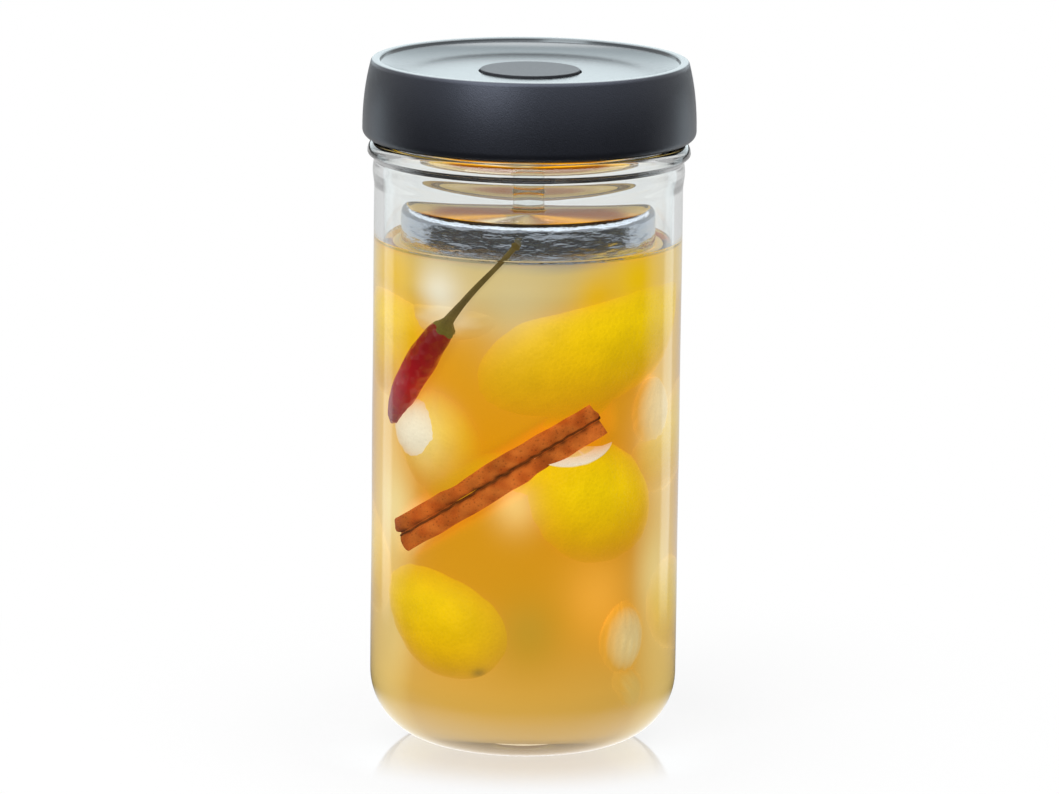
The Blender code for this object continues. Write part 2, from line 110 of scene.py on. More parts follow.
def grid_faces(rows, columns, ring):
    """Four-sided faces between neighbours, and a fan of triangles at both ends unless it is a ring."""
    row, column = np.meshgrid(np.arange(rows if ring else rows - 1), np.arange(columns), indexing="ij")
    below, beside = (row + 1) % rows * columns, (column + 1) % columns
    row = row * columns
    quads = np.stack([row + column, row + beside, below + beside, below + column], axis=-1)
    quads = quads.reshape(-1, 4)
    if ring:
        return quads, np.empty((0, 3), dtype=int)
    here = np.arange(columns)
    after = np.roll(here, -1)
    last = (rows - 1) * columns
    first_fan = np.stack([after, here, np.full(columns, rows * columns)], axis=1)
    last_fan = np.stack([last + here, last + after, np.full(columns, rows * columns + 1)], axis=1)
    return quads, np.concatenate([first_fan, last_fan])


def enclosed(points, quads, fans):
    """The signed volume: a sixth of the sum of a . (b x c) over the triangles."""
    faces = np.concatenate([quads[:, [0, 1, 2]], quads[:, [0, 2, 3]], fans])
    a, b, c = points[faces[:, 0]], points[faces[:, 1]], points[faces[:, 2]]
    return np.einsum("ij,ij->", a, np.cross(b, c)) / 6.0


def make_piece(name, points, quads, fans):
    """Puts points and faces into a smooth-shaded mesh object at the origin, faces outwards."""
    volume = enclosed(points, quads, fans)
    if volume < 0.0:
        quads, fans = quads[:, ::-1], fans[:, ::-1]
    mesh = bpy.data.meshes.new(name)
    mesh.from_pydata(points.tolist(), [], quads.tolist() + fans.tolist())
    mesh.shade_smooth()
    piece = bpy.data.objects.new(name, mesh)
    bpy.context.scene.collection.objects.link(piece)
    print(f"{name}: {len(points)} points, {abs(volume) * 1e6:.1f} cm3")
    return piece


def grid_piece(name, grid, poles=None):
    """A closed piece from a grid of rows and columns: a ring, or ended by its two pole points."""
    rows, columns = grid.shape[:2]
    quads, fans = grid_faces(rows, columns, poles is None)
    points = grid.reshape(-1, 3)
    if poles is not None:
        points = np.concatenate([points, np.asarray(poles, dtype=float)])
    return make_piece(name, points, quads, fans)


def spread(values, columns):
    """A list of values as a grid, with the same value all along each row."""
    return np.repeat(np.asarray(values, dtype=float)[:, None], columns, axis=1)


def round_grid(radius, angle, height):
    """Points (r cos t, r sin t, z) for grids of radius and height and a row of angles."""
    return np.stack([radius * np.cos(angle), radius * np.sin(angle), height], axis=-1)


def turned(profile, columns, push=None):
    """The profile at every angle round the axis. push(t, z, r) is added to the radius."""
    angle = np.linspace(0.0, TURN, columns, endpoint=False)[None, :]
    radius, height = spread(profile[:, 0], columns), spread(profile[:, 1], columns)
    if push is not None:
        radius = radius + push(angle, height, radius)
    return round_grid(radius, angle, height)


def turned_piece(name, profile, columns, push=None):
    """A turned piece whose profile starts and ends on the axis."""
    grid = turned(profile[1:-1], columns, push)
    return grid_piece(name, grid, [(0.0, 0.0, profile[0, 1]), (0.0, 0.0, profile[-1, 1])])


SINES = 14


def ripples(angle, height, waves, length, seed):
    """An even, random-looking swell between about -1 and 1, which closes round the axis.

    It is a sum of sines of (whole number * angle + height / length + phase), with drawn phases. Each
    use keeps its range of whole numbers, its length and its seed together in one named value.
    """
    draw = np.random.default_rng(seed)
    turns = draw.integers(waves[0], waves[1] + 1, SINES) * draw.choice([-1, 1], SINES)
    rise = draw.uniform(-1.0, 1.0, SINES) * TURN / length
    phase = draw.uniform(0.0, TURN, SINES)
    inside = angle[..., None] * turns + height[..., None] * rise + phase
    return np.sin(inside).sum(axis=-1) / np.sqrt(SINES)


# %% [markdown]
# The jar is blown soda-lime glass. Its body is straight, its foot is rounded, and under the lid runs
# the bead that the mould leaves where neck and body meet. A subdivided cage could give such a shape,
# but a turned profile holds each radius exactly. It goes from the middle of the floor up the inner
# wall, over the rim and down the outside. Two forms are drawn for the light that they bend: the
# inner shoulder step sits high in the neck, where it mirrors the brine in an amber arc, and the
# bead's widest line sits below its middle, so that the dark line under it stays thin.

# %% The jar's profile
BODY_RADIUS = 53.75 * MM
WALL = 3.5 * MM
FLOOR_TOP = 5.5 * MM
CORNER = 24.0 * MM
FOOT_RING = 5.0 * MM
PUSH_UP = 1.3 * MM
PUSH_UP_RAMP = 3.9 * MM
MOUTH_RADIUS = 46.0 * MM
NECK_WALL = 3.5 * MM
BEAD_HALF = 2.6 * MM
BEAD_DROP = 1.1 * MM
SWELL = 0.6 * MM
INNER_STEP_UP = 9.0 * MM
INNER_STEP_RISE = 9.9 * MM
BRINE_LEVEL = 177.6 * MM
MENISCUS = 0.9 * MM

RIM = 230.3 * MM
RIM_START = RIM - NECK_WALL / 2.0
BEAD_MIDDLE = RIM - 20.9 * MM
BEAD_TOP = BEAD_MIDDLE + BEAD_HALF
NECK_FOOT = BEAD_TOP + BEAD_HALF
SHOULDER = BEAD_MIDDLE - 13.9 * MM
SWELL_MIDDLE = BEAD_MIDDLE - 7.6 * MM
GROOVE = BEAD_MIDDLE - 3.9 * MM
WET_EDGE = BRINE_LEVEL + MENISCUS
BEAD_RADIUS = jar_high.x
NECK_RADIUS = MOUTH_RADIUS + NECK_WALL
INNER_RADIUS = BODY_RADIUS - WALL
INNER_CORNER = CORNER - WALL
INNER_FLOOR_RADIUS = INNER_RADIUS - INNER_CORNER
INNER_CORNER_MIDDLE = FLOOR_TOP + INNER_CORNER


def jar_inner():
    """The inner side: floor, rounded corner, straight wall, shoulder, mouth."""
    step_top = BEAD_MIDDLE + INNER_STEP_UP
    step_foot = step_top - INNER_STEP_RISE
    return joined(
        run((0.0, FLOOR_TOP), (INNER_FLOOR_RADIUS, FLOOR_TOP), 14),
        arc((INNER_FLOOR_RADIUS, INNER_CORNER_MIDDLE), INNER_CORNER, -90.0, 0.0, 24),
        run((INNER_RADIUS, INNER_CORNER_MIDDLE), (INNER_RADIUS, WET_EDGE), 50),
        run((INNER_RADIUS, WET_EDGE), (INNER_RADIUS, step_foot), 8),
        step((INNER_RADIUS, step_foot), (MOUTH_RADIUS, step_top), 16),
        run((MOUTH_RADIUS, step_top), (MOUTH_RADIUS, RIM_START), 16),
    )


def jar_outer():
    """The outer side: rim, neck, bead, groove, shoulder, wall, rounded foot and its raised middle.

    The bead is two arcs of a circle, the upper one drawn out in height and the lower one pressed flat.
    """
    half = NECK_WALL / 2.0
    ring_outer = BODY_RADIUS - CORNER
    ring_inner = ring_outer - FOOT_RING
    widest = np.array([BEAD_RADIUS - BEAD_HALF, BEAD_MIDDLE - BEAD_DROP])
    drop = BEAD_DROP / BEAD_HALF
    over = arc((0.0, 0.0), BEAD_HALF, 90.0, 0.0, 14) * [1.0, 1.0 + drop] + widest
    under = arc((0.0, 0.0), BEAD_HALF, 0.0, -60.0, 10) * [1.0, 1.0 - drop] + widest
    groove = (BODY_RADIUS + SWELL / 2.0, GROOVE)
    swell = (BODY_RADIUS + SWELL, SWELL_MIDDLE)
    raised = (ring_inner - PUSH_UP_RAMP, PUSH_UP)
    return joined(
        arc((MOUTH_RADIUS + half, RIM_START), half, 180.0, 0.0, 14),
        run((NECK_RADIUS, RIM_START), (NECK_RADIUS, NECK_FOOT), 44),
        arc((NECK_RADIUS + BEAD_HALF, NECK_FOOT), BEAD_HALF, 180.0, 270.0, 8),
        over,
        under,
        step(under[-1], groove, 6),
        step(groove, swell, 8),
        step(swell, (BODY_RADIUS, SHOULDER), 10),
        run((BODY_RADIUS, SHOULDER), (BODY_RADIUS, CORNER), 50),
        arc((ring_outer, CORNER), CORNER, 0.0, -90.0, 28),
        run((ring_outer, 0.0), (ring_inner, 0.0), 4),
        step((ring_inner, 0.0), raised, 8),
        run(raised, (0.0, PUSH_UP), 8),
    )


# %% [markdown]
# Four short threads stand out from the neck, hidden by the lid until it is lifted. A Screw modifier
# could sweep them, but they would be pieces of their own, stuck to the glass. Here they are a bump in
# radius that climbs with the angle, so that they stay one skin with the neck.

# %% Threads and the jar
STARTS = 4
LEAD = 24.0 * MM
THREAD_MIDDLE = RIM - 8.5 * MM
THREAD_DEPTH = 1.5 * MM
THREAD_ROOT = 2.2 * MM
THREAD_CREST = 1.2 * MM
THREAD_SPAN = np.radians(80.0)
THREAD_FADE = 0.2
NECK_SLACK = 0.5 * MM
BLOWN_UNEVENNESS = 0.06 * MM
BLOWN_RIPPLES = (2, 9), 60.0 * MM, 3


def thread_rise(angle, height):
    """How far the thread stands out: a rounded trapezoid across, faded over each end of its span."""
    quarter = TURN / STARTS
    along = (angle + quarter / 2.0) % quarter - quarter / 2.0
    off = np.abs(height - THREAD_MIDDLE - LEAD * along / TURN)
    flank = ramp(off, THREAD_ROOT / 2.0, THREAD_CREST / 2.0)
    share = along / THREAD_SPAN + 0.5
    ends = ramp(np.minimum(share, 1.0 - share), 0.0, THREAD_FADE)
    return THREAD_DEPTH * flank * (1.0 - np.cos(np.pi * ends)) / 2.0


def jar_push(angle, height, radius):
    """The threads on the outer side of the neck, and the faint unevenness of blown glass elsewhere."""
    on_neck = (radius > NECK_RADIUS - NECK_SLACK) & (height > NECK_FOOT) & (height < RIM_START)
    off_axis = ramp(radius, 0.0, INNER_RADIUS) ** 2
    uneven = BLOWN_UNEVENNESS * ripples(angle, height, *BLOWN_RIPPLES) * off_axis
    return np.where(on_neck, thread_rise(angle, height), uneven)


jar = turned_piece("jar_glass", joined(jar_inner(), jar_outer()), 192, jar_push)
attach(jar, "jar")
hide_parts("glass_jar")

# %% [markdown]
# The weight is pressed glass: a thick disc with a round stem that goes up into the lid. Pressing and
# fire polishing leave its sides wavy, and those waves are what makes its side look silvery. A bump in
# the material could draw them, but they would end at the edges. So the waves are real: a swell in
# radius that is full at the side and fades to nothing towards the stem.

# %% The weight
WEIGHT_RADIUS = 44.5 * MM
WEIGHT_EDGE = 3.0 * MM
WEIGHT_TOP = RIM - 40.3 * MM
WEIGHT_LOW = weight_low.z
STEM_RADIUS = 5.45 * MM
STEM_ROUND = 1.4 * MM
STEM_FILLET = 2.5 * MM
STEM_TOP = weight_high.z
PRESSED_WAVES = 0.16 * MM
WAVES_FROM = 0.6
BROAD_RIPPLES = (2, 9), 26.0 * MM, 11
FINE_RIPPLES = (10, 34), 5.0 * MM, 12
FINE_SHARE = 0.25


def weight_profile():
    """From the stem's top down to the disc, round its edge and in to the middle of its underside."""
    edge = WEIGHT_RADIUS - WEIGHT_EDGE
    return joined(
        [(0.0, STEM_TOP)],
        run((STEM_RADIUS * 0.3, STEM_TOP), (STEM_RADIUS - STEM_ROUND, STEM_TOP), 3),
        arc((STEM_RADIUS - STEM_ROUND, STEM_TOP - STEM_ROUND), STEM_ROUND, 90.0, 0.0, 8),
        run((STEM_RADIUS, STEM_TOP - STEM_ROUND), (STEM_RADIUS, WEIGHT_TOP + STEM_FILLET), 14),
        arc((STEM_RADIUS + STEM_FILLET, WEIGHT_TOP + STEM_FILLET), STEM_FILLET, 180.0, 270.0, 10),
        run((STEM_RADIUS + STEM_FILLET, WEIGHT_TOP), (edge, WEIGHT_TOP), 24),
        arc((edge, WEIGHT_TOP - WEIGHT_EDGE), WEIGHT_EDGE, 90.0, 0.0, 14),
        run((WEIGHT_RADIUS, WEIGHT_TOP - WEIGHT_EDGE), (WEIGHT_RADIUS, WEIGHT_LOW + WEIGHT_EDGE), 26),
        arc((edge, WEIGHT_LOW + WEIGHT_EDGE), WEIGHT_EDGE, 0.0, -90.0, 14),
        run((edge, WEIGHT_LOW), (0.0, WEIGHT_LOW), 24),
    )


def weight_push(angle, height, radius):
    """Waves on the side of the disc, long round it and short in height, and none near the stem."""
    on_side = ramp(radius, WAVES_FROM * WEIGHT_RADIUS, WEIGHT_RADIUS) ** 2
    broad = ripples(angle, height, *BROAD_RIPPLES)
    fine = ripples(angle, height, *FINE_RIPPLES)
    return PRESSED_WAVES * (broad + FINE_SHARE * fine - 1.0) * on_side


weight = turned_piece("weight_glass", weight_profile(), 288, weight_push)
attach(weight, "weight")
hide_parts("glass_weight")

# %% [markdown]
# The lid's outer cap is moulded polypropylene. Its side is widest near the foot and draws in towards
# the rim by a power curve, then rolls under in a soft lip. Inside the rim a gentle dish leads down to
# the flat plate, with the shallow round pocket for the valve's button in its middle. Seen from low
# down, that dish is most of what shows of the top, so it is drawn as wide as it looks. The profile is
# one closed outline, so the piece is a ring and has no pole.

# %% The lid's cap
LID_RADIUS = 58.05 * MM
LID_TAPER = 2.95 * MM
TAPER_POWER = 2.2
SHELL_WALL = 1.8 * MM
LIP = 3.0 * MM
LIP_THICKNESS = 1.5 * MM
RIM_WIDTH = 3.0 * MM
RIM_ROUND = 0.6 * MM
RIM_STEP = 0.7 * MM
DISH_WIDTH = 13.0 * MM
DISH_POWER = 2.1
DISH_GAP = 0.3 * MM
LID_TOP = shell_high.z
SKIRT_LOW = shell_low.z
SIDE_TOP = LID_TOP - 1.2 * RIM_ROUND
LIP_MIDDLE = SKIRT_LOW + LIP
PLATE_TOP = LID_TOP - 4.0 * MM
PLATE_LOW = PLATE_TOP - 2.0 * MM
POCKET_RADIUS = 17.8 * MM
POCKET_WALL = 1.2 * MM
POCKET_TOP = PLATE_TOP - 2.0 * MM
POCKET_LOW = POCKET_TOP - 1.4 * MM
POCKET_EDGE = 0.25 * MM
VALVE_HOLE = 2.5 * MM
RIM_INNER = LID_RADIUS - LID_TAPER - RIM_WIDTH
CREASE = np.radians(40.0)


def skirt(top, foot, inset, count):
    """The side between two heights: radius = widest - taper * share ** power, less the inset."""
    height = np.linspace(top, foot, count)
    share = ramp(height, LIP_MIDDLE, LID_TOP)
    return np.stack([LID_RADIUS - LID_TAPER * share**TAPER_POWER - inset, height], axis=1)


def dish(outer, count):
    """From the plate to under the rim: height = depth * share ** power, with the share going outwards."""
    share = np.linspace(0.0, 1.0, count)
    depth = LID_TOP - RIM_ROUND - RIM_STEP - PLATE_TOP
    return np.stack([outer - DISH_WIDTH * (1.0 - share), PLATE_TOP + depth * share**DISH_POWER], axis=1)


def cap_profile():
    """A closed outline: rim, side, lip, inside up to the pocket's hole, pocket, plate and dish."""
    rim_outer = LID_RADIUS - LID_TAPER
    lip = LID_RADIUS - LIP
    pocket_outer = POCKET_RADIUS + POCKET_WALL
    edge = POCKET_EDGE
    return joined(
        arc((rim_outer - RIM_ROUND, LID_TOP - RIM_ROUND), RIM_ROUND, 90.0, 15.0, 8),
        skirt(SIDE_TOP, LIP_MIDDLE, 0.0, 34),
        arc((lip, LIP_MIDDLE), LIP, 0.0, -90.0, 14),
        run((lip, SKIRT_LOW), (lip, SKIRT_LOW + LIP_THICKNESS), 3),
        skirt(PLATE_LOW, LIP_MIDDLE, SHELL_WALL, 14)[::-1],
        run((pocket_outer, PLATE_LOW), (pocket_outer, POCKET_LOW), 3),
        run((VALVE_HOLE, POCKET_LOW), (VALVE_HOLE, POCKET_TOP), 3),
        run((VALVE_HOLE, POCKET_TOP), (POCKET_RADIUS, POCKET_TOP), 6),
        arc((POCKET_RADIUS + edge, PLATE_TOP - edge), edge, 180.0, 90.0, 4),
        run((POCKET_RADIUS + 2.0 * edge, PLATE_TOP), (RIM_INNER - DISH_WIDTH, PLATE_TOP), 14),
        dish(RIM_INNER - DISH_GAP, 18),
        arc((RIM_INNER + RIM_ROUND, LID_TOP - RIM_ROUND), RIM_ROUND, 180.0, 90.0, 8),
    )


cap = grid_piece("lid_cap", turned(cap_profile(), 224))
cap.data.set_sharp_from_angle(angle=CREASE)
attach(cap, "lid")
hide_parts("lid_shell")

# %% [markdown]
# The brine fills the jar to a little above the weight's underside. Its skin is drawn a hair's breadth
# inside the glass wall, so that neither skin cuts through the other, and where it meets the glass it
# creeps up in a small curve, as water does. Cutting it out of the jar with a Boolean would give a
# rougher edge there.

# %% The brine
OFF_GLASS = 0.05 * MM
CREEP = 5.5 * MM
CREEP_POWER = 4


def brine_profile():
    """Floor, corner and wall just inside the glass, then the meniscus and the level surface."""
    radius = INNER_RADIUS - OFF_GLASS
    corner = INNER_CORNER - OFF_GLASS
    low = FLOOR_TOP + OFF_GLASS
    share = np.linspace(0.0, 1.0, 16)
    creep = BRINE_LEVEL + MENISCUS * (1.0 - share) ** CREEP_POWER
    return joined(
        run((0.0, low), (radius - corner, low), 8),
        arc((radius - corner, low + corner), corner, -90.0, 0.0, 24),
        run((radius, low + corner), (radius, WET_EDGE), 40),
        np.stack([radius - CREEP * share, creep], axis=1),
        run((radius - CREEP, BRINE_LEVEL), (0.0, BRINE_LEVEL), 12),
    )


brine = turned_piece("brine", brine_profile(), 192)
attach(brine, "jar")

# %% [markdown]
# Cloudy brine hides what lies deep in it. Fog in a volume would be slow and grainy, so the cloud is
# worked out instead. Each point of the fruit fades towards the brine's own colour with its distance
# from the glass, the way light fades in mist, and at the depth where nothing more can be seen a
# closed surface in that colour stands for the cloud. It is the same from every side. It bulges
# inwards round the cinnamon, so that the whole stick shows. Near the top it flares out to a thin
# collar in the gap beside the weight, and inside the collar it stays low enough for the weight to be
# pulled down by the whole of its travel.

# %% Where the cloud hides things
CLOUD_DEPTH = 9.6 * MM
CLOUD_DEPTH_LOW = 3.5 * MM
CLOUD_DEEPENS_OVER = 40.0 * MM
CLOUD_UNEVENNESS = 0.06
CLOUD_RIPPLES = (1, 4), 90.0 * MM, 21
HAZE_POWER = 1.5
WEIGHT_TRAVEL = 5.0 * MM
TRAVEL_SPARE = 0.4 * MM
CLOUD_TOP = WEIGHT_LOW - WEIGHT_TRAVEL - TRAVEL_SPARE
FLARE = 13.0 * MM
FRUIT_CLEARANCE = 1.8 * MM
COLLAR_TOP = 176.6 * MM
COLLAR_ROUND = 1.0 * MM
COLLAR_OUTER = 47.2 * MM
COLLAR_INNER = 45.1 * MM
STICK_LEFT = np.array([-38.0, -19.0, 76.4]) * MM
STICK_RIGHT = np.array([23.3, -36.0, 121.5]) * MM
STICK_BOW = 11.0 * MM
STICK_ROOM = 8.0 * MM
STICK_ROOM_WIDTH = 13.0 * MM


def wall_depth(points):
    """The distance to the inner glass: a straight wall, a rounded corner and a flat floor."""
    radius = np.hypot(points[..., 0], points[..., 1])
    out = np.maximum(radius - INNER_FLOOR_RADIUS, 0.0)
    down = np.maximum(INNER_CORNER_MIDDLE - points[..., 2], 0.0)
    return INNER_CORNER - np.hypot(out, down)


def stick_path(count):
    """The cinnamon's middle line: from end to end, bowed towards the front by half a sine wave."""
    share = np.linspace(0.0, 1.0, count)[:, None]
    bow = np.sin(np.pi * share) * STICK_BOW * np.array([[0.0, -1.0, 0.25]])
    return STICK_LEFT + (STICK_RIGHT - STICK_LEFT) * share + bow


def cloud_depth(angle, height):
    """How deep one sees in: less near the floor, uneven, and deeper round the cinnamon."""
    sunk = eased(ramp(height, 0.0, CLOUD_DEEPENS_OVER))
    depth = CLOUD_DEPTH_LOW + (CLOUD_DEPTH - CLOUD_DEPTH_LOW) * sunk
    depth = depth * (1.0 + CLOUD_UNEVENNESS * ripples(angle, height, *CLOUD_RIPPLES))
    flare = eased(ramp(height, CLOUD_TOP - FLARE, CLOUD_TOP))
    depth = depth * (1.0 - flare) + (INNER_RADIUS - COLLAR_OUTER) * flare
    path = stick_path(24)
    turn = (angle[..., None] - np.arctan2(path[:, 1], path[:, 0]) + np.pi) % TURN - np.pi
    far = np.hypot(turn * INNER_RADIUS, height[..., None] - path[:, 2])
    room = (wall_depth(path) + STICK_ROOM) * np.exp(-((far / STICK_ROOM_WIDTH) ** 2))
    return np.maximum(depth, room.max(axis=-1))


def haze(points, reach):
    """How much of a point's own colour is lost: 0 at the glass, 1 at reach times the cloud's depth."""
    depth = np.maximum(wall_depth(points), 0.0)
    limit = cloud_depth(np.arctan2(points[..., 1], points[..., 0]), points[..., 2]) * reach
    return np.clip(depth / limit, 0.0, 1.0) ** HAZE_POWER


# %% [markdown]
# Colours are written as the eye sees them, in sRGB hex, and one function turns them to the linear
# values that light works with. The cloud's own colour changes with height: cream where spice and pulp
# settle, amber in the middle and a paler beige just under the weight. In the well under the weight,
# which shows through the weight's glass, it is dark amber. A few soft patches, most where fruit lies
# deeper in, warm or lighten it. At its left and right sides the cloud is painted paler, and four patches
# there add to it: a painted glow, as of light coming through the mist. All this is painted on the
# points, which costs no render time.

# %% The cloud's colour


def colour(code):
    """Linear red, green and blue of an sRGB hex code, each channel by the sRGB curve."""
    channel = np.array([int(code[at : at + 2], 16) for at in (1, 3, 5)]) / 255.0
    return np.where(channel <= 0.04045, channel / 12.92, ((channel + 0.055) / 1.055) ** 2.4)


def mixed(first, second, share):
    """first * (1 - share) + second * share."""
    return first * (1.0 - share) + second * share


# The key is the height in millimetres
CLOUD_BY_HEIGHT = {
    0.0: "#E6C88C",
    20.0: "#DFB050",
    60.0: "#DB9C1C",
    110.0: "#E59A08",
    150.0: "#E2A420",
    164.0: "#DCBC6C",
    172.0: "#D6BE7C",
    176.0: "#A8A48E",
}
CLOUD_DRIFT = 4.0 * MM
DRIFT_RIPPLES = (1, 3), 70.0 * MM, 31
CLOUD_FROM_ABOVE = "#A8640C"
WELL_RADIUS = 39.0 * MM
WELL_BLUR = 8.0 * MM
WELL_FLOOR = 158.0 * MM
WELL_RISE = 5.0 * MM
# Painted glow: the cloud is paler at its left and right sides, as if light came through the mist there.
CLOUD_EDGE_GLOW = "#FFE08C"
EDGE_GLOW_SHARE = 0.75
EDGE_GLOW_FROM = 0.82
# Each patch: degrees to the right of the front, height and size in millimetres, colour
CLOUD_PATCHES = [
    (36.0, 58.0, 16.0, "#FFB63E"),
    (-4.0, 92.0, 9.0, "#FFD27C"),
    (-6.0, 164.0, 16.0, "#DCC890"),
    (-39.0, 165.0, 10.0, "#F6EFD8"),
    (-47.0, 113.0, 10.0, "#FBF0D0"),
    (50.0, 169.0, 17.0, "#FACB08"),
    (30.0, 164.0, 9.0, "#F2BE1C"),
    (-66.0, 167.0, 14.0, "#F2C424"),
    (2.0, 46.0, 12.0, "#CC9E2C"),
    # The next four patches, at the left and right sides, are painted glow rather than fruit.
    (78.0, 63.0, 14.0, "#FFE49A"),
    (78.0, 112.0, 16.0, "#FBE09A"),
    (-76.0, 84.0, 14.0, "#FFE9A8"),
    (-78.0, 40.0, 16.0, "#F1D48A"),
    (-130.0, 120.0, 22.0, "#F3BC5C"),
    (170.0, 140.0, 20.0, "#E6C98C"),
]


def cloud_colour(points):
    """The colour by height, then a share of each patch: exp(-(distance / size) squared)."""
    levels = np.array(list(CLOUD_BY_HEIGHT)) * MM
    colours = np.array([colour(code) for code in CLOUD_BY_HEIGHT.values()])
    angle = np.arctan2(points[..., 1], points[..., 0])
    height = points[..., 2] + CLOUD_DRIFT * ripples(angle, points[..., 2], *DRIFT_RIPPLES)
    tint = np.stack([np.interp(height, levels, colours[:, at]) for at in range(3)], axis=-1)
    well = ramp(np.hypot(points[..., 0], points[..., 1]), WELL_RADIUS, WELL_RADIUS - WELL_BLUR)
    well = well * ramp(points[..., 2], WELL_FLOOR, WELL_FLOOR + WELL_RISE)
    tint = mixed(tint, colour(CLOUD_FROM_ABOVE), well[..., None])
    # Painted glow at the left and right sides, kept out of the well.
    aside = ramp(np.abs(np.cos(angle)), EDGE_GLOW_FROM, 1.0) * EDGE_GLOW_SHARE * (1.0 - well)
    tint = mixed(tint, colour(CLOUD_EDGE_GLOW), aside[..., None])
    for azimuth, level, size, code in CLOUD_PATCHES:
        turn = (angle + np.pi / 2.0 - np.radians(azimuth) + np.pi) % TURN - np.pi
        far = np.hypot(turn * INNER_RADIUS, points[..., 2] - level * MM) / (size * MM)
        tint = mixed(tint, colour(code), np.exp(-(far**2))[..., None])
    return tint


def paint(piece, own, reach):
    """Stores two attributes: tint, the piece's own colour faded into the cloud's, and haze."""
    count = len(piece.data.vertices)
    points = np.empty(count * 3)
    piece.data.vertices.foreach_get("co", points)
    points = points.reshape(-1, 3)
    lost = np.ones(count) if reach is None else haze(points, reach)
    tint = mixed(own, cloud_colour(points), lost[:, None])
    shade = piece.data.attributes.new("tint", "FLOAT_COLOR", "POINT")
    shade.data.foreach_set("color", np.column_stack([tint, np.ones(count)]).ravel())
    piece.data.attributes.new("haze", "FLOAT", "POINT").data.foreach_set("value", lost)


# %% The cloud


def cloud_grid(columns):
    """The jar's inner skin moved inwards by the cloud's depth, then the collar and the low flat top."""
    angle = np.linspace(0.0, TURN, columns, endpoint=False)[None, :]
    flat = spread(np.linspace(2.0 * MM, INNER_FLOOR_RADIUS, 8), columns)
    bend = spread(np.radians(np.linspace(-85.0, -5.0, 14)), columns)
    near = INNER_CORNER - cloud_depth(angle, INNER_CORNER_MIDDLE + INNER_CORNER * np.sin(bend))
    wall = spread(np.linspace(INNER_CORNER_MIDDLE, CLOUD_TOP, 100), columns)
    collar = spread(np.linspace(CLOUD_TOP, COLLAR_TOP - COLLAR_ROUND, 14)[1:-1], columns)
    over = spread(np.radians(np.linspace(0.0, 180.0, 9)), columns)
    top = spread(np.linspace(1.0, 0.05, 11), columns)
    middle, half = (COLLAR_OUTER + COLLAR_INNER) / 2.0, (COLLAR_OUTER - COLLAR_INNER) / 2.0
    rows = [
        (flat, np.full_like(flat, FLOOR_TOP + CLOUD_DEPTH_LOW)),
        (INNER_FLOOR_RADIUS + near * np.cos(bend), INNER_CORNER_MIDDLE + near * np.sin(bend)),
        (INNER_RADIUS - cloud_depth(angle, wall), wall),
        (np.full_like(collar, COLLAR_OUTER), collar),
        (middle + half * np.cos(over), COLLAR_TOP - COLLAR_ROUND + COLLAR_ROUND * np.sin(over)),
        (COLLAR_INNER * top, np.full_like(top, CLOUD_TOP)),
    ]
    radius, height = (np.concatenate(part) for part in zip(*rows))
    return round_grid(radius, angle, height)


skin = cloud_grid(180)
cloud = grid_piece("brine_cloud", skin, [(0.0, 0.0, skin[0, 0, 2]), (0.0, 0.0, skin[-1, 0, 2])])
paint(cloud, np.ones(3), None)
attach(cloud, "jar")

# %% [markdown]
# A lemon is an ellipsoid with a nipple at one end and a stem scar at the other, and its peel is
# uneven. A cut lemon ends in a flat face instead: white pith, then pale flesh in segments. Both come
# from one function of two angles, which a rotation then points the way that the lemon lies. Sculpting
# each would look no better behind the haze. Loose pith and pulp are small lemons in one colour. What
# lies under the weight is pressed flat there, so that nothing stands in the weight's way.

# %% Lemons
PEEL = colour("#FFD602")
# The second peel colour is painted shade, for the underside of each lemon.
PEEL_SHADED = colour("#D49402")
PEEL_SCAR = colour("#5E5A22")
PITH = colour("#F3EEDC")
FLESH = colour("#EBDD94")
PITH_WIDTH = 4.5 * MM
PITH_BLUR = 0.8 * MM
SEGMENTS = 9
SEGMENT_WALL = 0.22
SEGMENT_WALL_SHARE = 0.7
FULLNESS = 0.92
NIPPLE, NIPPLE_WIDTH = 0.13, 0.30
SCAR_END, SCAR_END_WIDTH = 0.03, 0.25
SCAR_SIZE = 2.4 * MM
FACE_BULGE = 0.4 * MM
FACE_ROWS = 40
LEMON_COLUMNS = 120
PEEL_SWELL = 0.018
SWELL_RIPPLES = (1, 4), 60.0 * MM
PEEL_LUMPS = 0.16 * MM
LUMP_RIPPLES = (9, 22), 9.0 * MM
LUMPS_FULL = 8.0 * MM
POLE_OUT = 0.1 * MM
SPIN = 37.0
PEEL_SHADE_FROM = 0.3
PEEL_SHADE_SHARE = 0.8


def lemon_profile(length, width, cut):
    """Half-outline from the scar end at -length to the nipple at +length, or to a flat cut face.

    The second result is the depth into the cut face, and 0 on the peel.
    """
    polar = np.linspace(np.pi, 0.0, 110)[1:-1]
    across = width * np.sin(polar) ** FULLNESS
    nipple = NIPPLE * np.exp(-((polar / NIPPLE_WIDTH) ** 2))
    scar = SCAR_END * np.exp(-(((np.pi - polar) / SCAR_END_WIDTH) ** 2))
    outline = np.stack([across, length * np.cos(polar) * (1.0 + nipple + scar)], axis=1)
    if cut is None:
        return outline, np.zeros(len(outline))
    kept = outline[outline[:, 1] < cut * length]
    edge = kept[-1, 0]
    inward = np.linspace(1.0, 0.02, FACE_ROWS)
    face = np.stack([edge * inward, cut * length + FACE_BULGE * np.sin(np.pi * inward)], axis=1)
    depth = np.concatenate([np.zeros(len(kept)), edge * (1.0 - inward) + 1e-6])
    return np.concatenate([kept, face]), depth


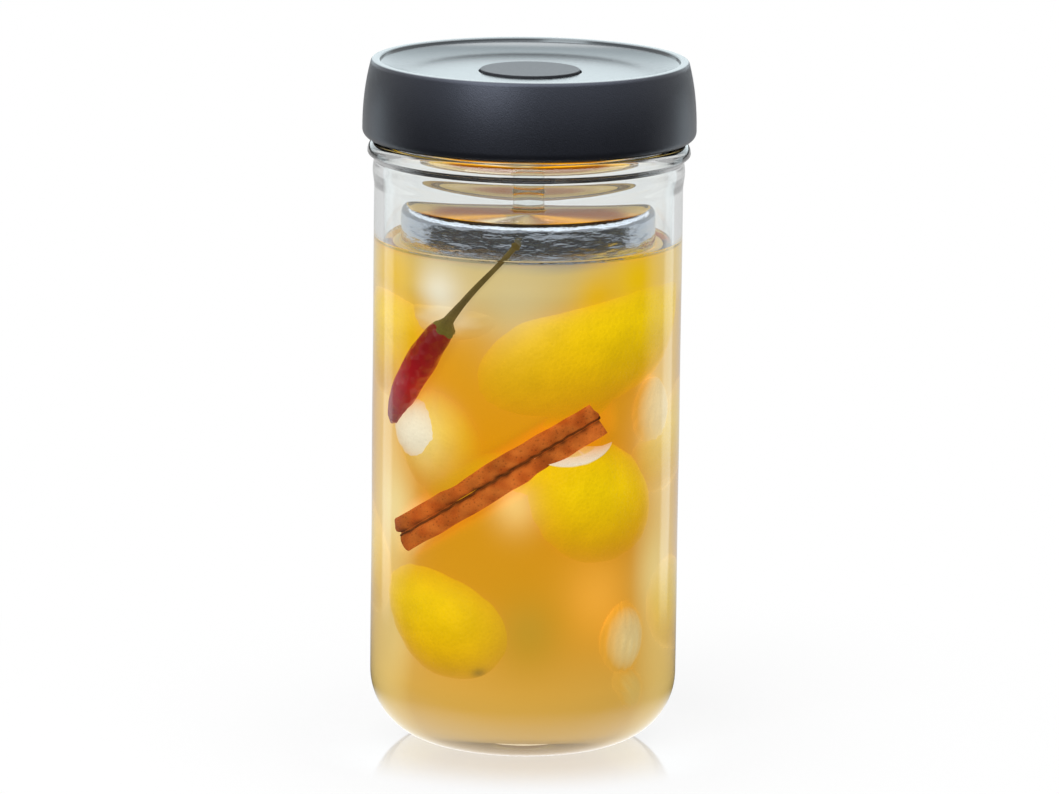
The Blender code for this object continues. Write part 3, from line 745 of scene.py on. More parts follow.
def facing(direction, spin):
    """A rotation whose third column is the direction, turned about it by spin degrees."""
    third = np.asarray(direction, dtype=float)
    third = third / np.linalg.norm(third)
    helper = np.array([0.0, 0.0, 1.0]) if abs(third[2]) < 0.9 else np.array([1.0, 0.0, 0.0])
    first = np.cross(helper, third)
    first = first / np.linalg.norm(first)
    second = np.cross(third, first)
    cos, sin = np.cos(np.radians(spin)), np.sin(np.radians(spin))
    return np.stack([first * cos + second * sin, second * cos - first * sin, third], axis=1)


def around(azimuth, radius, height):
    """A place in the jar: degrees to the right of the front, millimetres from the axis, height."""
    turn = np.radians(azimuth)
    return np.array([radius * np.sin(turn), -radius * np.cos(turn), height]) * MM


def pressed(points):
    """Flattens fruit under the weight, so that the weight has room to be pulled down."""
    under = np.hypot(points[..., 0], points[..., 1]) < WEIGHT_RADIUS + FRUIT_CLEARANCE
    points = points.copy()
    points[..., 2] = np.where(under, np.minimum(points[..., 2], CLOUD_TOP), points[..., 2])
    return points


def lemon_colours(along, depth, angle, away):
    """Peel with painted shade underneath and a dark stem scar; on a cut face pith round paler-walled
    segments.
    """
    far = np.linalg.norm(away, axis=-1, keepdims=True)
    off_axis = np.sqrt(np.maximum(far**2 - along[..., None] ** 2, 0.0))
    scar = np.exp(-((off_axis / SCAR_SIZE) ** 2)) * (along < 0.0)[..., None]
    # Painted shade: the peel turns darker and more orange on the side that faces down.
    painted_shade = PEEL_SHADE_SHARE * ramp(away[..., 2:3] / far, PEEL_SHADE_FROM, PEEL_SHADE_FROM - 1.0)
    peel = mixed(mixed(PEEL, PEEL_SHADED, painted_shade), PEEL_SCAR, scar)
    wall = np.exp(-((np.sin(SEGMENTS * angle / 2.0) / SEGMENT_WALL) ** 2))
    inside = ramp(depth, PITH_WIDTH, PITH_WIDTH + PITH_BLUR) * (1.0 - SEGMENT_WALL_SHARE * wall)
    return np.where((depth > 0.0)[..., None], mixed(PITH, FLESH, inside[..., None]), peel)


def make_lemon(name, place, direction, length, width, seed, cut=None, code=None, reach=1.0):
    """One lemon: the profile turned, swollen a little by ripples, then pointed and placed.

    A code paints it in one colour, which gives a loose piece of pith or pulp. Reach eases the haze.
    """
    outline, depth = lemon_profile(length * MM, width * MM, cut)
    angle = np.linspace(0.0, TURN, LEMON_COLUMNS, endpoint=False)[None, :]
    along, depth = spread(outline[:, 1], LEMON_COLUMNS), spread(depth, LEMON_COLUMNS)
    swell = 1.0 + PEEL_SWELL * ripples(angle, along, *SWELL_RIPPLES, seed) * (depth == 0.0)
    lumps = PEEL_LUMPS * ripples(angle, along, *LUMP_RIPPLES, seed + 1) * (depth == 0.0)
    radius = outline[:, 0:1] * swell + lumps * ramp(outline[:, 0:1], 0.0, LUMPS_FULL)
    poles = np.array([[0.0, 0.0, outline[0, 1] - POLE_OUT], [0.0, 0.0, outline[-1, 1]]])
    turn = facing(direction, SPIN * seed).T
    grid = round_grid(radius, angle, along) @ turn
    piece = grid_piece(name, pressed(grid + place), pressed(poles @ turn + place))
    if code is None:
        own = lemon_colours(along, depth, angle, grid)
        own = np.vstack([own.reshape(-1, 3), PEEL_SCAR, PEEL if cut is None else PITH])
    else:
        own = colour(code)
    paint(piece, own, reach)
    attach(piece, "jar")
    return piece


# %% The fruit's places
def loose(code, reach=0.85):
    """What sets a loose piece apart: its one colour, and that it shows less deep than a lemon."""
    return {"code": code, "reach": reach}


# Name, place (degrees, mm, mm), direction, length and width in mm, seed, and what sets it apart
FRUIT = [
    ("lemon_upper_right", (36, 21.6, 146.5), (0.7, 0.34, 0.62), 38, 27.2, 1, dict(reach=1.25)),
    ("lemon_lower_right", (35.5, 25.5, 89.5), (-0.04, -0.42, 0.9), 29.5, 23, 2, dict(cut=0.84, reach=1.3)),
    ("lemon_lower_left", (-46, 24.6, 50), (-0.12, 0.78, 0.6), 29, 22.8, 3, dict(reach=1.3)),
    ("lemon_middle_left", (-45, 22.5, 109), (-0.3, -0.2, 0.9), 27, 22, 4, {}),
    ("lemon_upper_left", (-80, 25.5, 146), (0.3, -0.2, 0.9), 28, 23.5, 5, {}),
    ("pith_middle_left", (-54.5, 32.5, 115), (0.64, 0.77, 0.1), 15.5, 13.5, 2, loose("#FBF0D4", 0.88)),
    ("pith_upper_left", (-38, 31, 157), (0.8, -0.6, 0.15), 19, 13, 6, loose("#F6EACA")),
    ("pith_lower_right", (50, 36, 41), (0.1, -0.05, 0.95), 14.5, 10, 6, loose("#EEE2AC")),
    ("pith_low_right", (50, 35, 26), (-0.7, -0.05, 0.6), 12, 9, 9, loose("#E2D48A")),
    ("pulp_right", (68, 34.5, 117), (0.45, -0.3, 0.75), 17, 11, 8, loose("#FBE3AC")),
    ("lemon_right", (92, 24, 108), (0.1, 0.9, 0.5), 30, 22.5, 6, {}),
    ("lemon_back_low", (165, 25, 55), (0.7, 0.2, 0.5), 30, 23, 7, {}),
    ("lemon_back_middle", (150, 24, 108), (-0.5, 0.6, 0.6), 28, 23, 8, dict(cut=0.8)),
    ("lemon_back_upper", (-155, 23, 141), (0.9, 0.1, -0.3), 31, 23.5, 9, {}),
    ("lemon_left_low", (-112, 26, 64), (0.2, 0.5, 0.8), 28, 22, 10, dict(cut=0.8)),
    ("lemon_right_low", (102, 26, 46), (0.2, -0.6, 0.7), 26, 21, 13, {}),
]

lemons = []
for name, place, direction, length, width, seed, apart in FRUIT:
    lemons.append(make_lemon(name, around(*place), direction, length, width, seed, **apart))

# %% [markdown]
# The chilli and the cinnamon lie against the glass, so they are sharp. Each is a section carried along
# a path. A Bezier curve with a bevel could carry a round one, but not one that changes its form. The
# path is a smooth curve through a few points, and the frame that carries the section uses the
# direction away from the jar's axis, so it never twists.

# %% Paths and sweeps


def smooth_path(points, count):
    """A Catmull-Rom curve: each span blends its two points and their neighbours by cubic weights."""
    points = np.asarray(points, dtype=float)
    padded = np.concatenate([2.0 * points[:1] - points[1:2], points, 2.0 * points[-1:] - points[-2:-1]])
    place = np.linspace(0.0, len(points) - 1.0, count)
    at = np.minimum(place.astype(int), len(points) - 2)
    t = (place - at)[:, None]
    a, b, c, d = (padded[at + shift] for shift in range(4))
    square, cube = 2.0 * a - 5.0 * b + 4.0 * c - d, 3.0 * (b - c) + d - a
    return 0.5 * (2.0 * b + (c - a) * t + square * t**2 + cube * t**3)


def path_frame(path):
    """For each point of the path: the direction away from the axis, and the one square to both."""
    ahead = np.gradient(path, axis=0)
    ahead = ahead / np.linalg.norm(ahead, axis=1, keepdims=True)
    outward = path * np.array([1.0, 1.0, 0.0])
    outward = outward - (outward * ahead).sum(axis=1, keepdims=True) * ahead
    outward = outward / np.linalg.norm(outward, axis=1, keepdims=True)
    return outward, np.cross(ahead, outward)


def tube(path, radius, columns, lobes, flat):
    """A round section of the given radii along the path, lobed by five waves and flattened outwards."""
    outward, aside = path_frame(path)
    angle = np.linspace(0.0, TURN, columns, endpoint=False)
    size = radius[:, None] * (1.0 + lobes[:, None] * np.cos(5.0 * angle))
    out = flat * (size * np.cos(angle))[..., None] * outward[:, None, :]
    return path[:, None, :] + out + (size * np.sin(angle))[..., None] * aside[:, None, :]


def make_tube(name, path, radius, lobes, flat, columns, colours, share, reach):
    """A tube along the path that goes from the first colour to the second by its rows' shares."""
    piece = grid_piece(name, tube(path, radius, columns, lobes, flat), [path[0], path[-1]])
    own = mixed(*colours, spread(share, columns)[..., None]).reshape(-1, 3)
    paint(piece, np.vstack([own, *colours]), reach)
    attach(piece, "jar")
    return piece


# %% [markdown]
# The chilli is a small dried pod in the brine: a smooth waxy skin, a little crumpled, with darker
# bands. Its stem starts in a lobed cap, the calyx, that grips the pod. Both are tubes whose radius is
# read from a short list along the path.

# %% The chilli
CHILLI_RED = colour("#A00A18")
CHILLI_DARK = colour("#4E040A")
CALYX_GREEN = colour("#6C6426")
STEM_GREEN = colour("#5A4A1C")
# Places along the path, in millimetres
POD_PATH = [
    (-26.3, -35.3, 153.0),
    (-31.0, -31.5, 145.0),
    (-36.5, -25.5, 134.0),
    (-40.6, -21.0, 123.5),
    (-42.8, -17.5, 115.5),
]
STEM_PATH = [
    (-26.8, -35.0, 151.6),
    (-24.7, -38.0, 156.6),
    (-18.1, -44.2, 166.6),
    (-9.7, -47.2, 176.5),
    (-3.4, -48.0, 184.0),
]
# The radius in millimetres by the share of the path
POD_RADII = {0.0: 2.6, 0.03: 3.9, 0.12: 4.7, 0.35: 5.7, 0.60: 5.6, 0.82: 4.4, 0.94: 2.9, 1.0: 0.7}
STEM_RADII = {0.0: 3.6, 0.02: 4.0, 0.07: 3.8, 0.12: 3.0, 0.2: 1.9, 0.4: 1.2, 0.7: 0.85, 0.94: 0.9}
STEM_RADII.update({0.97: 1.75, 1.0: 1.1})
POD_BANDS = 0.6
POD_CRUMPLE = 0.025
POD_LOBES = 0.04
POD_FLAT = 0.86
POD_REACH = 3.5
CALYX_LENGTH = 0.10
CALYX_LOBES = 0.10
STEM_LOBES = 0.05
STEM_FLAT = 0.92
STEM_REACH = 3.0


def radii(table, share):
    """The radius at each share of the path, evenly between the table's entries."""
    return np.interp(share, list(table), list(table.values())) * MM


def make_pod():
    """The pod: narrow shoulders, widest in its middle, and a blunt tip, a little crumpled."""
    share = np.linspace(0.0, 1.0, 70)
    radius = radii(POD_RADII, share) * (1.0 + POD_CRUMPLE * np.sin(share * 21.0))
    path = smooth_path(np.array(POD_PATH) * MM, 70)
    bands = POD_BANDS * (0.5 + 0.5 * np.sin(share * 7.0 + 1.0))
    lobes = POD_LOBES * np.sin(share * 9.0)
    reds = (CHILLI_RED, CHILLI_DARK)
    return make_tube("chilli_pod", path, radius, lobes, POD_FLAT, 48, reds, bands, POD_REACH)


def make_stem():
    """The calyx cap, lobed where it grips the pod, narrowing to the long stem with its cut end."""
    share = np.linspace(0.0, 1.0, 110)
    path = smooth_path(np.array(STEM_PATH) * MM, 110)
    lobes = CALYX_LOBES * ramp(share, CALYX_LENGTH, 0.0) + STEM_LOBES
    radius, greens, blend = radii(STEM_RADII, share), (CALYX_GREEN, STEM_GREEN), ramp(share, 0.0, 0.3)
    return make_tube("chilli_stem", path, radius, lobes, STEM_FLAT, 40, greens, blend, STEM_REACH)


pod, stem = make_pod(), make_stem()

# %% [markdown]
# Cinnamon bark curls up from both edges as it dries, into two scrolls side by side. The section is
# that curl: a strip that winds in to the left and, mirrored, in to the right, with a thickness. It
# is carried along a slightly bowed path, and ripples roughen the bark.

# %% The cinnamon
BARK = colour("#B4521A")
BARK_PALE = colour("#E08034")
# The dark bark colour is painted shade, for the slit between the scrolls and the inside of each curl.
BARK_PAINTED_SHADE = colour("#4E220C")
SCROLL_RADIUS = 3.15 * MM
SCROLL_TURNS = 1.55
SCROLL_TIGHTENS = 0.52
SCROLL_APART = 0.98
BARK_THICKNESS = 0.75 * MM
BARK_ROWS = 120
SECTION_POINTS = 90
BARK_RUN = 90.0 * MM
BARK_ROUGHNESS = 0.03
BARK_RIPPLES = (2, 12), 12.0 * MM, 41
TORN_ENDS = 0.9 * MM
TORN_SHARE = 0.05
TORN_RIPPLES = (2, 9), 1.0, 42
PALE_SHARE = 0.5
PALE_RIPPLES = (2, 14), 7.0 * MM, 43
# The slit's painted shade: its width, its jagged edge and the ripples that make it.
SLIT_SHADE_WIDTH = 0.9 * MM
SLIT_SHADE_JAGGED = 0.35 * MM
SLIT_SHADE_RIPPLES = (1, 2), 5.0 * MM, 44
BARK_REACH = 6.0


def scroll_section(count):
    """A closed outline: out along one face of the curled strip and back along the other."""
    share = np.linspace(-1.0, 1.0, count)
    wound = np.abs(share) * SCROLL_TURNS * TURN - np.pi / 2.0
    radius = SCROLL_RADIUS * (1.0 - SCROLL_TIGHTENS * np.abs(share))
    across = np.sign(share) * (SCROLL_RADIUS * SCROLL_APART + radius * np.sin(wound))
    line = np.stack([across, -radius * np.cos(wound)], axis=1)
    ahead = np.gradient(line, axis=0)
    ahead = ahead / np.linalg.norm(ahead, axis=1, keepdims=True)
    normal = np.stack([-ahead[:, 1], ahead[:, 0]], axis=1) * BARK_THICKNESS / 2.0
    return np.concatenate([line + normal, (line - normal)[::-1]])


def bark_grid():
    """The section carried along the path, roughened by ripples, with torn ends."""
    path = stick_path(BARK_ROWS)
    outward, aside = path_frame(path)
    section = scroll_section(SECTION_POINTS)
    share = np.linspace(0.0, 1.0, BARK_ROWS)[:, None]
    angle = np.linspace(0.0, TURN, len(section), endpoint=False)[None, :]
    rough = 1.0 + BARK_ROUGHNESS * ripples(angle, share * BARK_RUN, *BARK_RIPPLES)
    size = section[None] * rough[..., None]
    grid = path[:, None, :] + size[..., 0:1] * aside[:, None, :] + size[..., 1:2] * outward[:, None, :]
    torn = TORN_ENDS * ripples(angle, 0.0 * share, *TORN_RIPPLES)
    ends = ramp(share, TORN_SHARE, 0.0) - ramp(share, 1.0 - TORN_SHARE, 1.0)
    ahead = np.gradient(path, axis=0) / np.linalg.norm(path[1] - path[0])
    return grid + (torn * ends)[..., None] * ahead[:, None, :]


def bark_colours():
    """Orange-brown bark, paler in patches, with painted shade in the slit between the scrolls and inside
    them.
    """
    section = scroll_section(SECTION_POINTS)
    angle = np.linspace(0.0, TURN, len(section), endpoint=False)[None, :]
    along = np.linspace(0.0, BARK_RUN, BARK_ROWS)[:, None]
    patch = np.clip(0.5 + 0.5 * ripples(angle, along, *PALE_RIPPLES), 0.0, 1.0)[..., None]
    # Painted shade in the slit between the scrolls and deep in each curl.
    jagged = SLIT_SHADE_JAGGED * ripples(0.0 * along, along, *SLIT_SHADE_RIPPLES)
    dark = np.exp(-(((section[None, :, 0] + jagged) / SLIT_SHADE_WIDTH) ** 2))[..., None]
    return mixed(mixed(BARK, BARK_PALE, PALE_SHARE * patch), BARK_PAINTED_SHADE, dark).reshape(-1, 3)


def open_section_piece(name, grid):
    """A swept outline with flat ends: the outline's two faces are sewn across, point to point."""
    rows, columns = grid.shape[:2]
    quads, _ = grid_faces(rows, columns, ring=False)
    near = np.arange(columns // 2 - 1)
    across = np.stack([near, near + 1, columns - 2 - near, columns - 1 - near], axis=1)
    quads = np.concatenate([quads, across[:, ::-1], (rows - 1) * columns + across])
    return make_piece(name, grid.reshape(-1, 3), quads, np.empty((0, 3), dtype=int))


cinnamon = open_section_piece("cinnamon_stick", bark_grid())
paint(cinnamon, bark_colours(), BARK_REACH)
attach(cinnamon, "jar")

# %% [markdown]
# Materials. One small function adds a node, gives it its settings and joins its inputs. Each material
# starts from what the real one is and how its surface was made, and its patterns are scaled from real
# sizes: a texture's scale is one over the size of its grain in metres. Where a piece has more than
# one finish, a test on the middle points of its faces picks the faces that get the further one.

# %% Helpers for materials


def rgba(code):
    """A hex colour as the four numbers that a colour socket takes."""
    return (*colour(code).tolist(), 1.0)


def start(name, **values):
    """A new material with a Principled shader, whose sockets take the given values."""
    made = bpy.data.materials.new(name)
    made.use_nodes = True
    shader = made.node_tree.nodes["Principled BSDF"]
    for socket, value in values.items():
        shader.inputs[socket.replace("_", " ")].default_value = value
    return made, made.node_tree, shader


def feed(tree, node, links):
    """Joins the node's inputs to what feeds them: an output, or a node that gives its first one."""
    for name, source in links.items():
        output = source if isinstance(source, bpy.types.NodeSocket) else source.outputs[0]
        tree.links.new(output, node.inputs[name])


def add(tree, kind, settings=None, links=None):
    """Adds a node. A setting is a property or a socket's value; links are what feeds its inputs."""
    node = tree.nodes.new("ShaderNode" + kind)
    for name, value in (settings or {}).items():
        if isinstance(name, int) or name in node.inputs:
            node.inputs[name].default_value = value
        else:
            setattr(node, name, value)
    feed(tree, node, links or {})
    return node


SOFT = {"interpolation_type": "SMOOTHSTEP"}


def grained(tree, shader, vector, grain, height, detail=2.0):
    """Bumps the shader's normal by noise of the grain's size, and gives the noise back."""
    noise = add(tree, "TexNoise", {"Scale": 1.0 / grain, "Detail": detail}, {"Vector": vector})
    bump = add(tree, "Bump", {"Strength": 1.0, "Distance": height}, {"Height": noise})
    feed(tree, shader, {"Normal": bump})
    return noise


def dress(piece, material):
    """Gives the piece this one material, in every slot that it has."""
    if not piece.data.materials:
        piece.data.materials.append(material)
    for at in range(len(piece.data.materials)):
        piece.data.materials[at] = material
    print(f"{piece.name}: {material.name}")


def dress_part(piece, material, wanted):
    """Gives a further material to the faces whose middle points the test picks."""
    count = len(piece.data.polygons)
    middles = np.empty(count * 3)
    piece.data.polygons.foreach_get("center", middles)
    index = np.empty(count, dtype=np.int32)
    piece.data.polygons.foreach_get("material_index", index)
    piece.data.materials.append(material)
    picked = wanted(middles.reshape(-1, 3))
    index[picked] = len(piece.data.materials) - 1
    piece.data.polygons.foreach_set("material_index", index)
    print(f"{piece.name}: {material.name} on {picked.sum()} of {count} faces")


# %% [markdown]
# Glass bends light by the ratio of the two sides' indices. Against air that is 1.52. Where the brine
# wets it, on the jar's inner skin and under the weight, it is 1.52 over the brine's 1.34, which makes
# that skin nearly vanish. Blown glass is almost smooth, and pressed glass rolls more. The weight's
# wavy side sends most light back by total reflection, so it looks silvery. Thousands of bounces could
# work that out; a share of mirror in the glass gives it at once.

# %% Glass
IOR_GLASS = 1.52
IOR_BRINE = 1.34
EDGE_POWER = 5.0
SILVER_SHARE = 0.88
SILVER_TINT = "#E6F0FF"
SILVER_SQUEEZE = 3.8
BLOWN_GRAIN = 14.0 * MM
BLOWN_HEIGHT = 0.02 * MM
PRESSED_GRAIN = 9.0 * MM
PRESSED_HEIGHT = 0.10 * MM
SIDE_GRAIN = 14.0 * MM
SIDE_HEIGHT = 0.7 * MM
UNDERSIDE = 0.5 * MM


def clear_glass(name, tint, edge, grain, height, ratio=IOR_GLASS):
    """Clear glass with a faint ripple; edge-on, where one looks along the wall, it turns greyer."""
    made, tree, shader = start(name, Roughness=0.0, IOR=ratio, Transmission_Weight=1.0)
    grained(tree, shader, add(tree, "TexCoord").outputs["Object"], grain, height)
    weight_of = add(tree, "LayerWeight", {"Blend": 0.5})
    share = add(tree, "Math", {"operation": "POWER", 1: EDGE_POWER}, {0: weight_of.outputs["Facing"]})
    shade = add(tree, "Mix", {"data_type": "RGBA", 6: rgba(tint), 7: rgba(edge)}, {0: share})
    feed(tree, shader, {"Base Color": shade.outputs[2]})
    return made


def silvery_side():
    """The wavy pressed side: part mirror, with noise squeezed in height into level streaks."""
    made, tree, shader = start(
        "wavy_pressed_glass_side",
        Roughness=0.02,
        IOR=IOR_GLASS,
        Transmission_Weight=1.0,
        Metallic=SILVER_SHARE,
        Base_Color=rgba(SILVER_TINT),
    )
    place = add(tree, "TexCoord").outputs["Object"]
    squeeze = add(tree, "Mapping", {"Scale": (1.0, 1.0, SILVER_SQUEEZE)}, {"Vector": place})
    grained(tree, shader, squeeze.outputs[0], SIDE_GRAIN, SIDE_HEIGHT, 4.0)
    return made


def wetted(points):
    """True on the jar's inner skin, below the brine's edge."""
    return (wall_depth(points) > -WALL / 2.0) & (points[:, 2] < WET_EDGE)


def weight_side(points):
    """True on the upright side of the weight's disc and its rounded edges."""
    out = np.hypot(points[:, 0], points[:, 1]) > WEIGHT_RADIUS - 0.75 * WEIGHT_EDGE
    return out & (points[:, 2] < WEIGHT_TOP)


def weight_under(points):
    """True on the flat under side of the weight, which hangs in the brine."""
    return (points[:, 2] < WEIGHT_LOW + UNDERSIDE) & ~weight_side(points)


wet_ratio = IOR_GLASS / IOR_BRINE
# Blown glass: all but invisible face-on, with a grey edge where one looks along the wall
blown = clear_glass("blown_soda_lime_glass", "#FBFDFC", "#C4CACC", BLOWN_GRAIN, BLOWN_HEIGHT)
blown_wet = clear_glass("blown_glass_against_brine", "#FFFFFF", "#FFFFFF", BLOWN_GRAIN, 0.0, wet_ratio)
dress(jar, blown)
dress_part(jar, blown_wet, wetted)
# Pressed glass: its rolling surface bends what is behind it into soft streaks
fired = clear_glass("pressed_fire_polished_glass", "#F7FBFA", "#C9CED0", PRESSED_GRAIN, PRESSED_HEIGHT)
pressed_wet = clear_glass(
    "pressed_glass_against_brine", "#FFFFFF", "#FFFFFF", PRESSED_GRAIN, PRESSED_HEIGHT, wet_ratio
)
dress(weight, fired)
dress_part(weight, silvery_side(), weight_side)
dress_part(weight, pressed_wet, weight_under)

# %% [markdown]
# The brine is weak salt water, stained yellow by the lemons. The stain is an absorption in its
# volume, so that thick places are deeper in colour. Its side bends nothing, because the glass skin
# next to it already does, and its open surface bends light as water does. Shadow rays pass through,
# so that the lamps reach the fruit.

# %% The brine's surface
STAIN = "#FFE79F"
STAIN_DENSITY = 14.0
BRINE_GRAIN = 18.0 * MM
BRINE_RIPPLE = 0.02 * MM
HAIR = 0.1 * MM


def brine_surface(name, ratio, height):
    """Clear and smooth, with a stain that takes colour from light along its way through."""
    made, tree, shader = start(name, Roughness=0.0, IOR=ratio, Transmission_Weight=1.0)
    grained(tree, shader, add(tree, "TexCoord").outputs["Object"], BRINE_GRAIN, height)
    rays = add(tree, "LightPath")
    clear = add(tree, "BsdfTransparent")
    both = add(tree, "MixShader", None, {0: rays.outputs["Is Shadow Ray"], 1: shader, 2: clear})
    stain = add(tree, "VolumeAbsorption", {"Color": rgba(STAIN), "Density": STAIN_DENSITY})
    feed(tree, tree.nodes["Material Output"], {"Surface": both, "Volume": stain})
    return made


def level_surface(points):
    """True on the brine's open surface, between the weight and the glass, its creep included."""
    open_ring = np.hypot(points[:, 0], points[:, 1]) > WEIGHT_RADIUS + HAIR
    return open_ring & (points[:, 2] > BRINE_LEVEL - HAIR)


# Against the glass nothing shows but the stain; against the air there is a level, shiny surface
dress(brine, brine_surface("brine_against_glass", 1.0, 0.0))
dress_part(brine, brine_surface("brine_against_air", IOR_BRINE, BRINE_RIPPLE), level_surface)

# %% [markdown]
# Fruit and spice are seen through the brine. Light comes at them from all round, scattered by the
# cloud, so they glow a little in their own painted tint and have no hard shadows. Pores and patches
# are drawn by two textures, and the haze washes them out where a piece lies deep. Peel is waxy with
# fine pits, the chilli's skin is smooth and wet, and bark is rough. Subsurface scattering would give
# a like softness, but at many times the render time.

# %% Fruit and spice
SCATTERED_LIGHT = 0.92
LIT_SHARE = 0.55
IOR_PEEL_IN_BRINE = 1.12
PATCH_GRAINS = 9.0
PATCH_FROM, PATCH_FULL = 0.3, 0.7
PORE_EDGE = 0.35


def brined(name, grain, pores, mottle, roughness, **values):
    """A surface seen through brine: the painted tint, mottled, with pores that the haze washes out."""
    made, tree, shader = start(name, Roughness=roughness, **{"IOR": IOR_PEEL_IN_BRINE, **values})
    place = add(tree, "TexCoord").outputs["Object"]
    tint = add(tree, "Attribute", {"attribute_name": "tint"})
    lost = add(tree, "Attribute", {"attribute_name": "haze"})
    spots = add(tree, "TexVoronoi", {"Scale": 1.0 / grain}, {"Vector": place})
    settings = {"Scale": 1.0 / (PATCH_GRAINS * grain), "Detail": 4.0}
    patches = add(tree, "TexNoise", settings, {"Vector": place})
    clear = add(tree, "Math", {"operation": "SUBTRACT", 0: 1.0}, {1: lost.outputs["Fac"]})
    settings = {"From Min": PATCH_FROM, "From Max": PATCH_FULL, "To Min": 1.0 - mottle}
    dark = add(tree, "MapRange", {**settings, "To Max": 1.0 + mottle / 2.0}, {"Value": patches})
    settings = {"From Min": 0.0, "From Max": PORE_EDGE, "To Min": 1.0 - mottle, "To Max": 1.0}
    pore = add(tree, "MapRange", settings, {"Value": spots.outputs["Distance"]})
    both = add(tree, "Math", {"operation": "MULTIPLY"}, {0: dark, 1: pore})
    kept = add(tree, "Mix", {"data_type": "FLOAT", 2: 1.0}, {0: clear, 3: both})
    shown = add(tree, "VectorMath", {"operation": "SCALE"}, {0: tint.outputs["Color"], "Scale": kept})
    dimmed = add(tree, "VectorMath", {"operation": "SCALE", "Scale": LIT_SHARE}, {0: shown})
    feed(tree, shader, {"Base Color": dimmed, "Emission Color": shown})
    shader.inputs["Emission Strength"].default_value = SCATTERED_LIGHT
    bump = add(tree, "Bump", {"Distance": pores}, {"Height": spots.outputs["Distance"], "Strength": clear})
    feed(tree, shader, {"Normal": bump})
    return made


# Waxy peel: pits 1.4 mm apart, in a soft satin sheen
waxy_peel = brined("brined_lemon_peel", 1.4 * MM, 0.40 * MM, 0.11, 0.42)
for piece in lemons:
    dress(piece, waxy_peel)
# The cloud: a matt depth with no pores, paler edge-on, where more of the mist is looked through
misty = dict(Sheen_Weight=1.0, Sheen_Roughness=0.3, Sheen_Tint=rgba("#FFF0C8"))
# Like the fruit, the cloud has a painted glow in its own tint.
dress(cloud, brined("cloudy_brine_depth", 6.0 * MM, 0.0, 0.04, 0.9, **misty))
# Smooth wet skin with broad dents, which catches a clear highlight
dress(pod, brined("brined_chilli_skin", 4.0 * MM, 0.9 * MM, 0.30, 0.16, IOR=1.45))
# A dry, slightly furrowed stem
dress(stem, brined("dried_chilli_stem", 0.9 * MM, 0.25 * MM, 0.30, 0.6))
# Soaked bark: coarse dark flecks and no shine
dress(cinnamon, brined("soaked_cinnamon_bark", 1.3 * MM, 0.60 * MM, 0.45, 0.7))

# %% [markdown]
# The lid is moulded polypropylene and its seals are silicone. A mould gives back its own surface:
# spark erosion leaves a fine even grain, which turns a highlight into a soft sheen, and polished
# steel leaves it smooth. The real grain is about 0.1 mm, too fine to show here, so it is drawn a few
# times as coarse. A photograph of the grain would need an image; noise needs none and never repeats.

# %% Plastic and silicone
BROAD_GRAIN = 12.0 * MM
SMOOTHER, ROUGHER = 0.05, 0.07


def moulded(name, code, light_code, grain, height, roughness, **values):
    """Moulded plastic or silicone: a fine even grain from the mould, and a slight change of shade."""
    made, tree, shader = start(name, Roughness=roughness, **values)
    place = add(tree, "TexCoord").outputs["Object"]
    fine = grained(tree, shader, place, grain, height, 3.0)
    broad = add(tree, "TexNoise", {"Scale": 1.0 / BROAD_GRAIN, "Detail": 2.0}, {"Vector": place})
    share = add(tree, "Math", {"operation": "MULTIPLY"}, {0: fine, 1: broad})
    shades = {"data_type": "RGBA", 6: rgba(code), 7: rgba(light_code)}
    shade = add(tree, "Mix", shades, {0: share})
    feed(tree, shader, {"Base Color": shade.outputs[2]})
    settings = {"To Min": roughness - SMOOTHER, "To Max": roughness + ROUGHER}
    sheen = add(tree, "MapRange", settings, {"Value": fine})
    feed(tree, shader, {"Roughness": sheen})
    return made


def plate_side(points):
    """True on the cap's plate, its dish and the top of its rim."""
    out = np.hypot(points[:, 0], points[:, 1])
    on_plate = (out < RIM_INNER + RIM_ROUND) & (out > POCKET_RADIUS + POCKET_EDGE)
    return on_plate & (points[:, 2] > POCKET_TOP + HAIR) | (points[:, 2] > LID_TOP - HAIR)


# The cap's side: near black, with a grain that one feels with a nail and a cool soft sheen
satin = dict(Specular_IOR_Level=0.55, Specular_Tint=rgba("#DCE6FF"))
eroded = "spark_eroded_black_polypropylene"
dress(cap, moulded(eroded, "#0D0E12", "#15161B", 0.40 * MM, 0.055 * MM, 0.35, **satin))
# Its plate: the same plastic from a polished part of the mould, which mirrors the sky softly
polished = dict(Specular_IOR_Level=1.0, Specular_Tint=rgba("#E6F3F8"))
smooth = "smooth_black_polypropylene"
dress_part(cap, moulded(smooth, "#1A1B20", "#212228", 0.6 * MM, 0.004 * MM, 0.20, **polished), plate_side)
# The button: charcoal and matt, with hardly any shine
dull = dict(Specular_IOR_Level=0.14, Specular_Tint=rgba("#E6F0F8"))
charcoal = moulded("matt_charcoal_polypropylene", "#34363A", "#3F4145", 0.6 * MM, 0.03 * MM, 0.44, **dull)
dress(nodes["valve_button"], charcoal)
# Hidden under the cap: plain matt black
matt = moulded("matt_black_polypropylene", "#3B3B3F", "#46464A", 0.7 * MM, 0.03 * MM, 0.5)
dress(nodes["thread_insert"], matt)
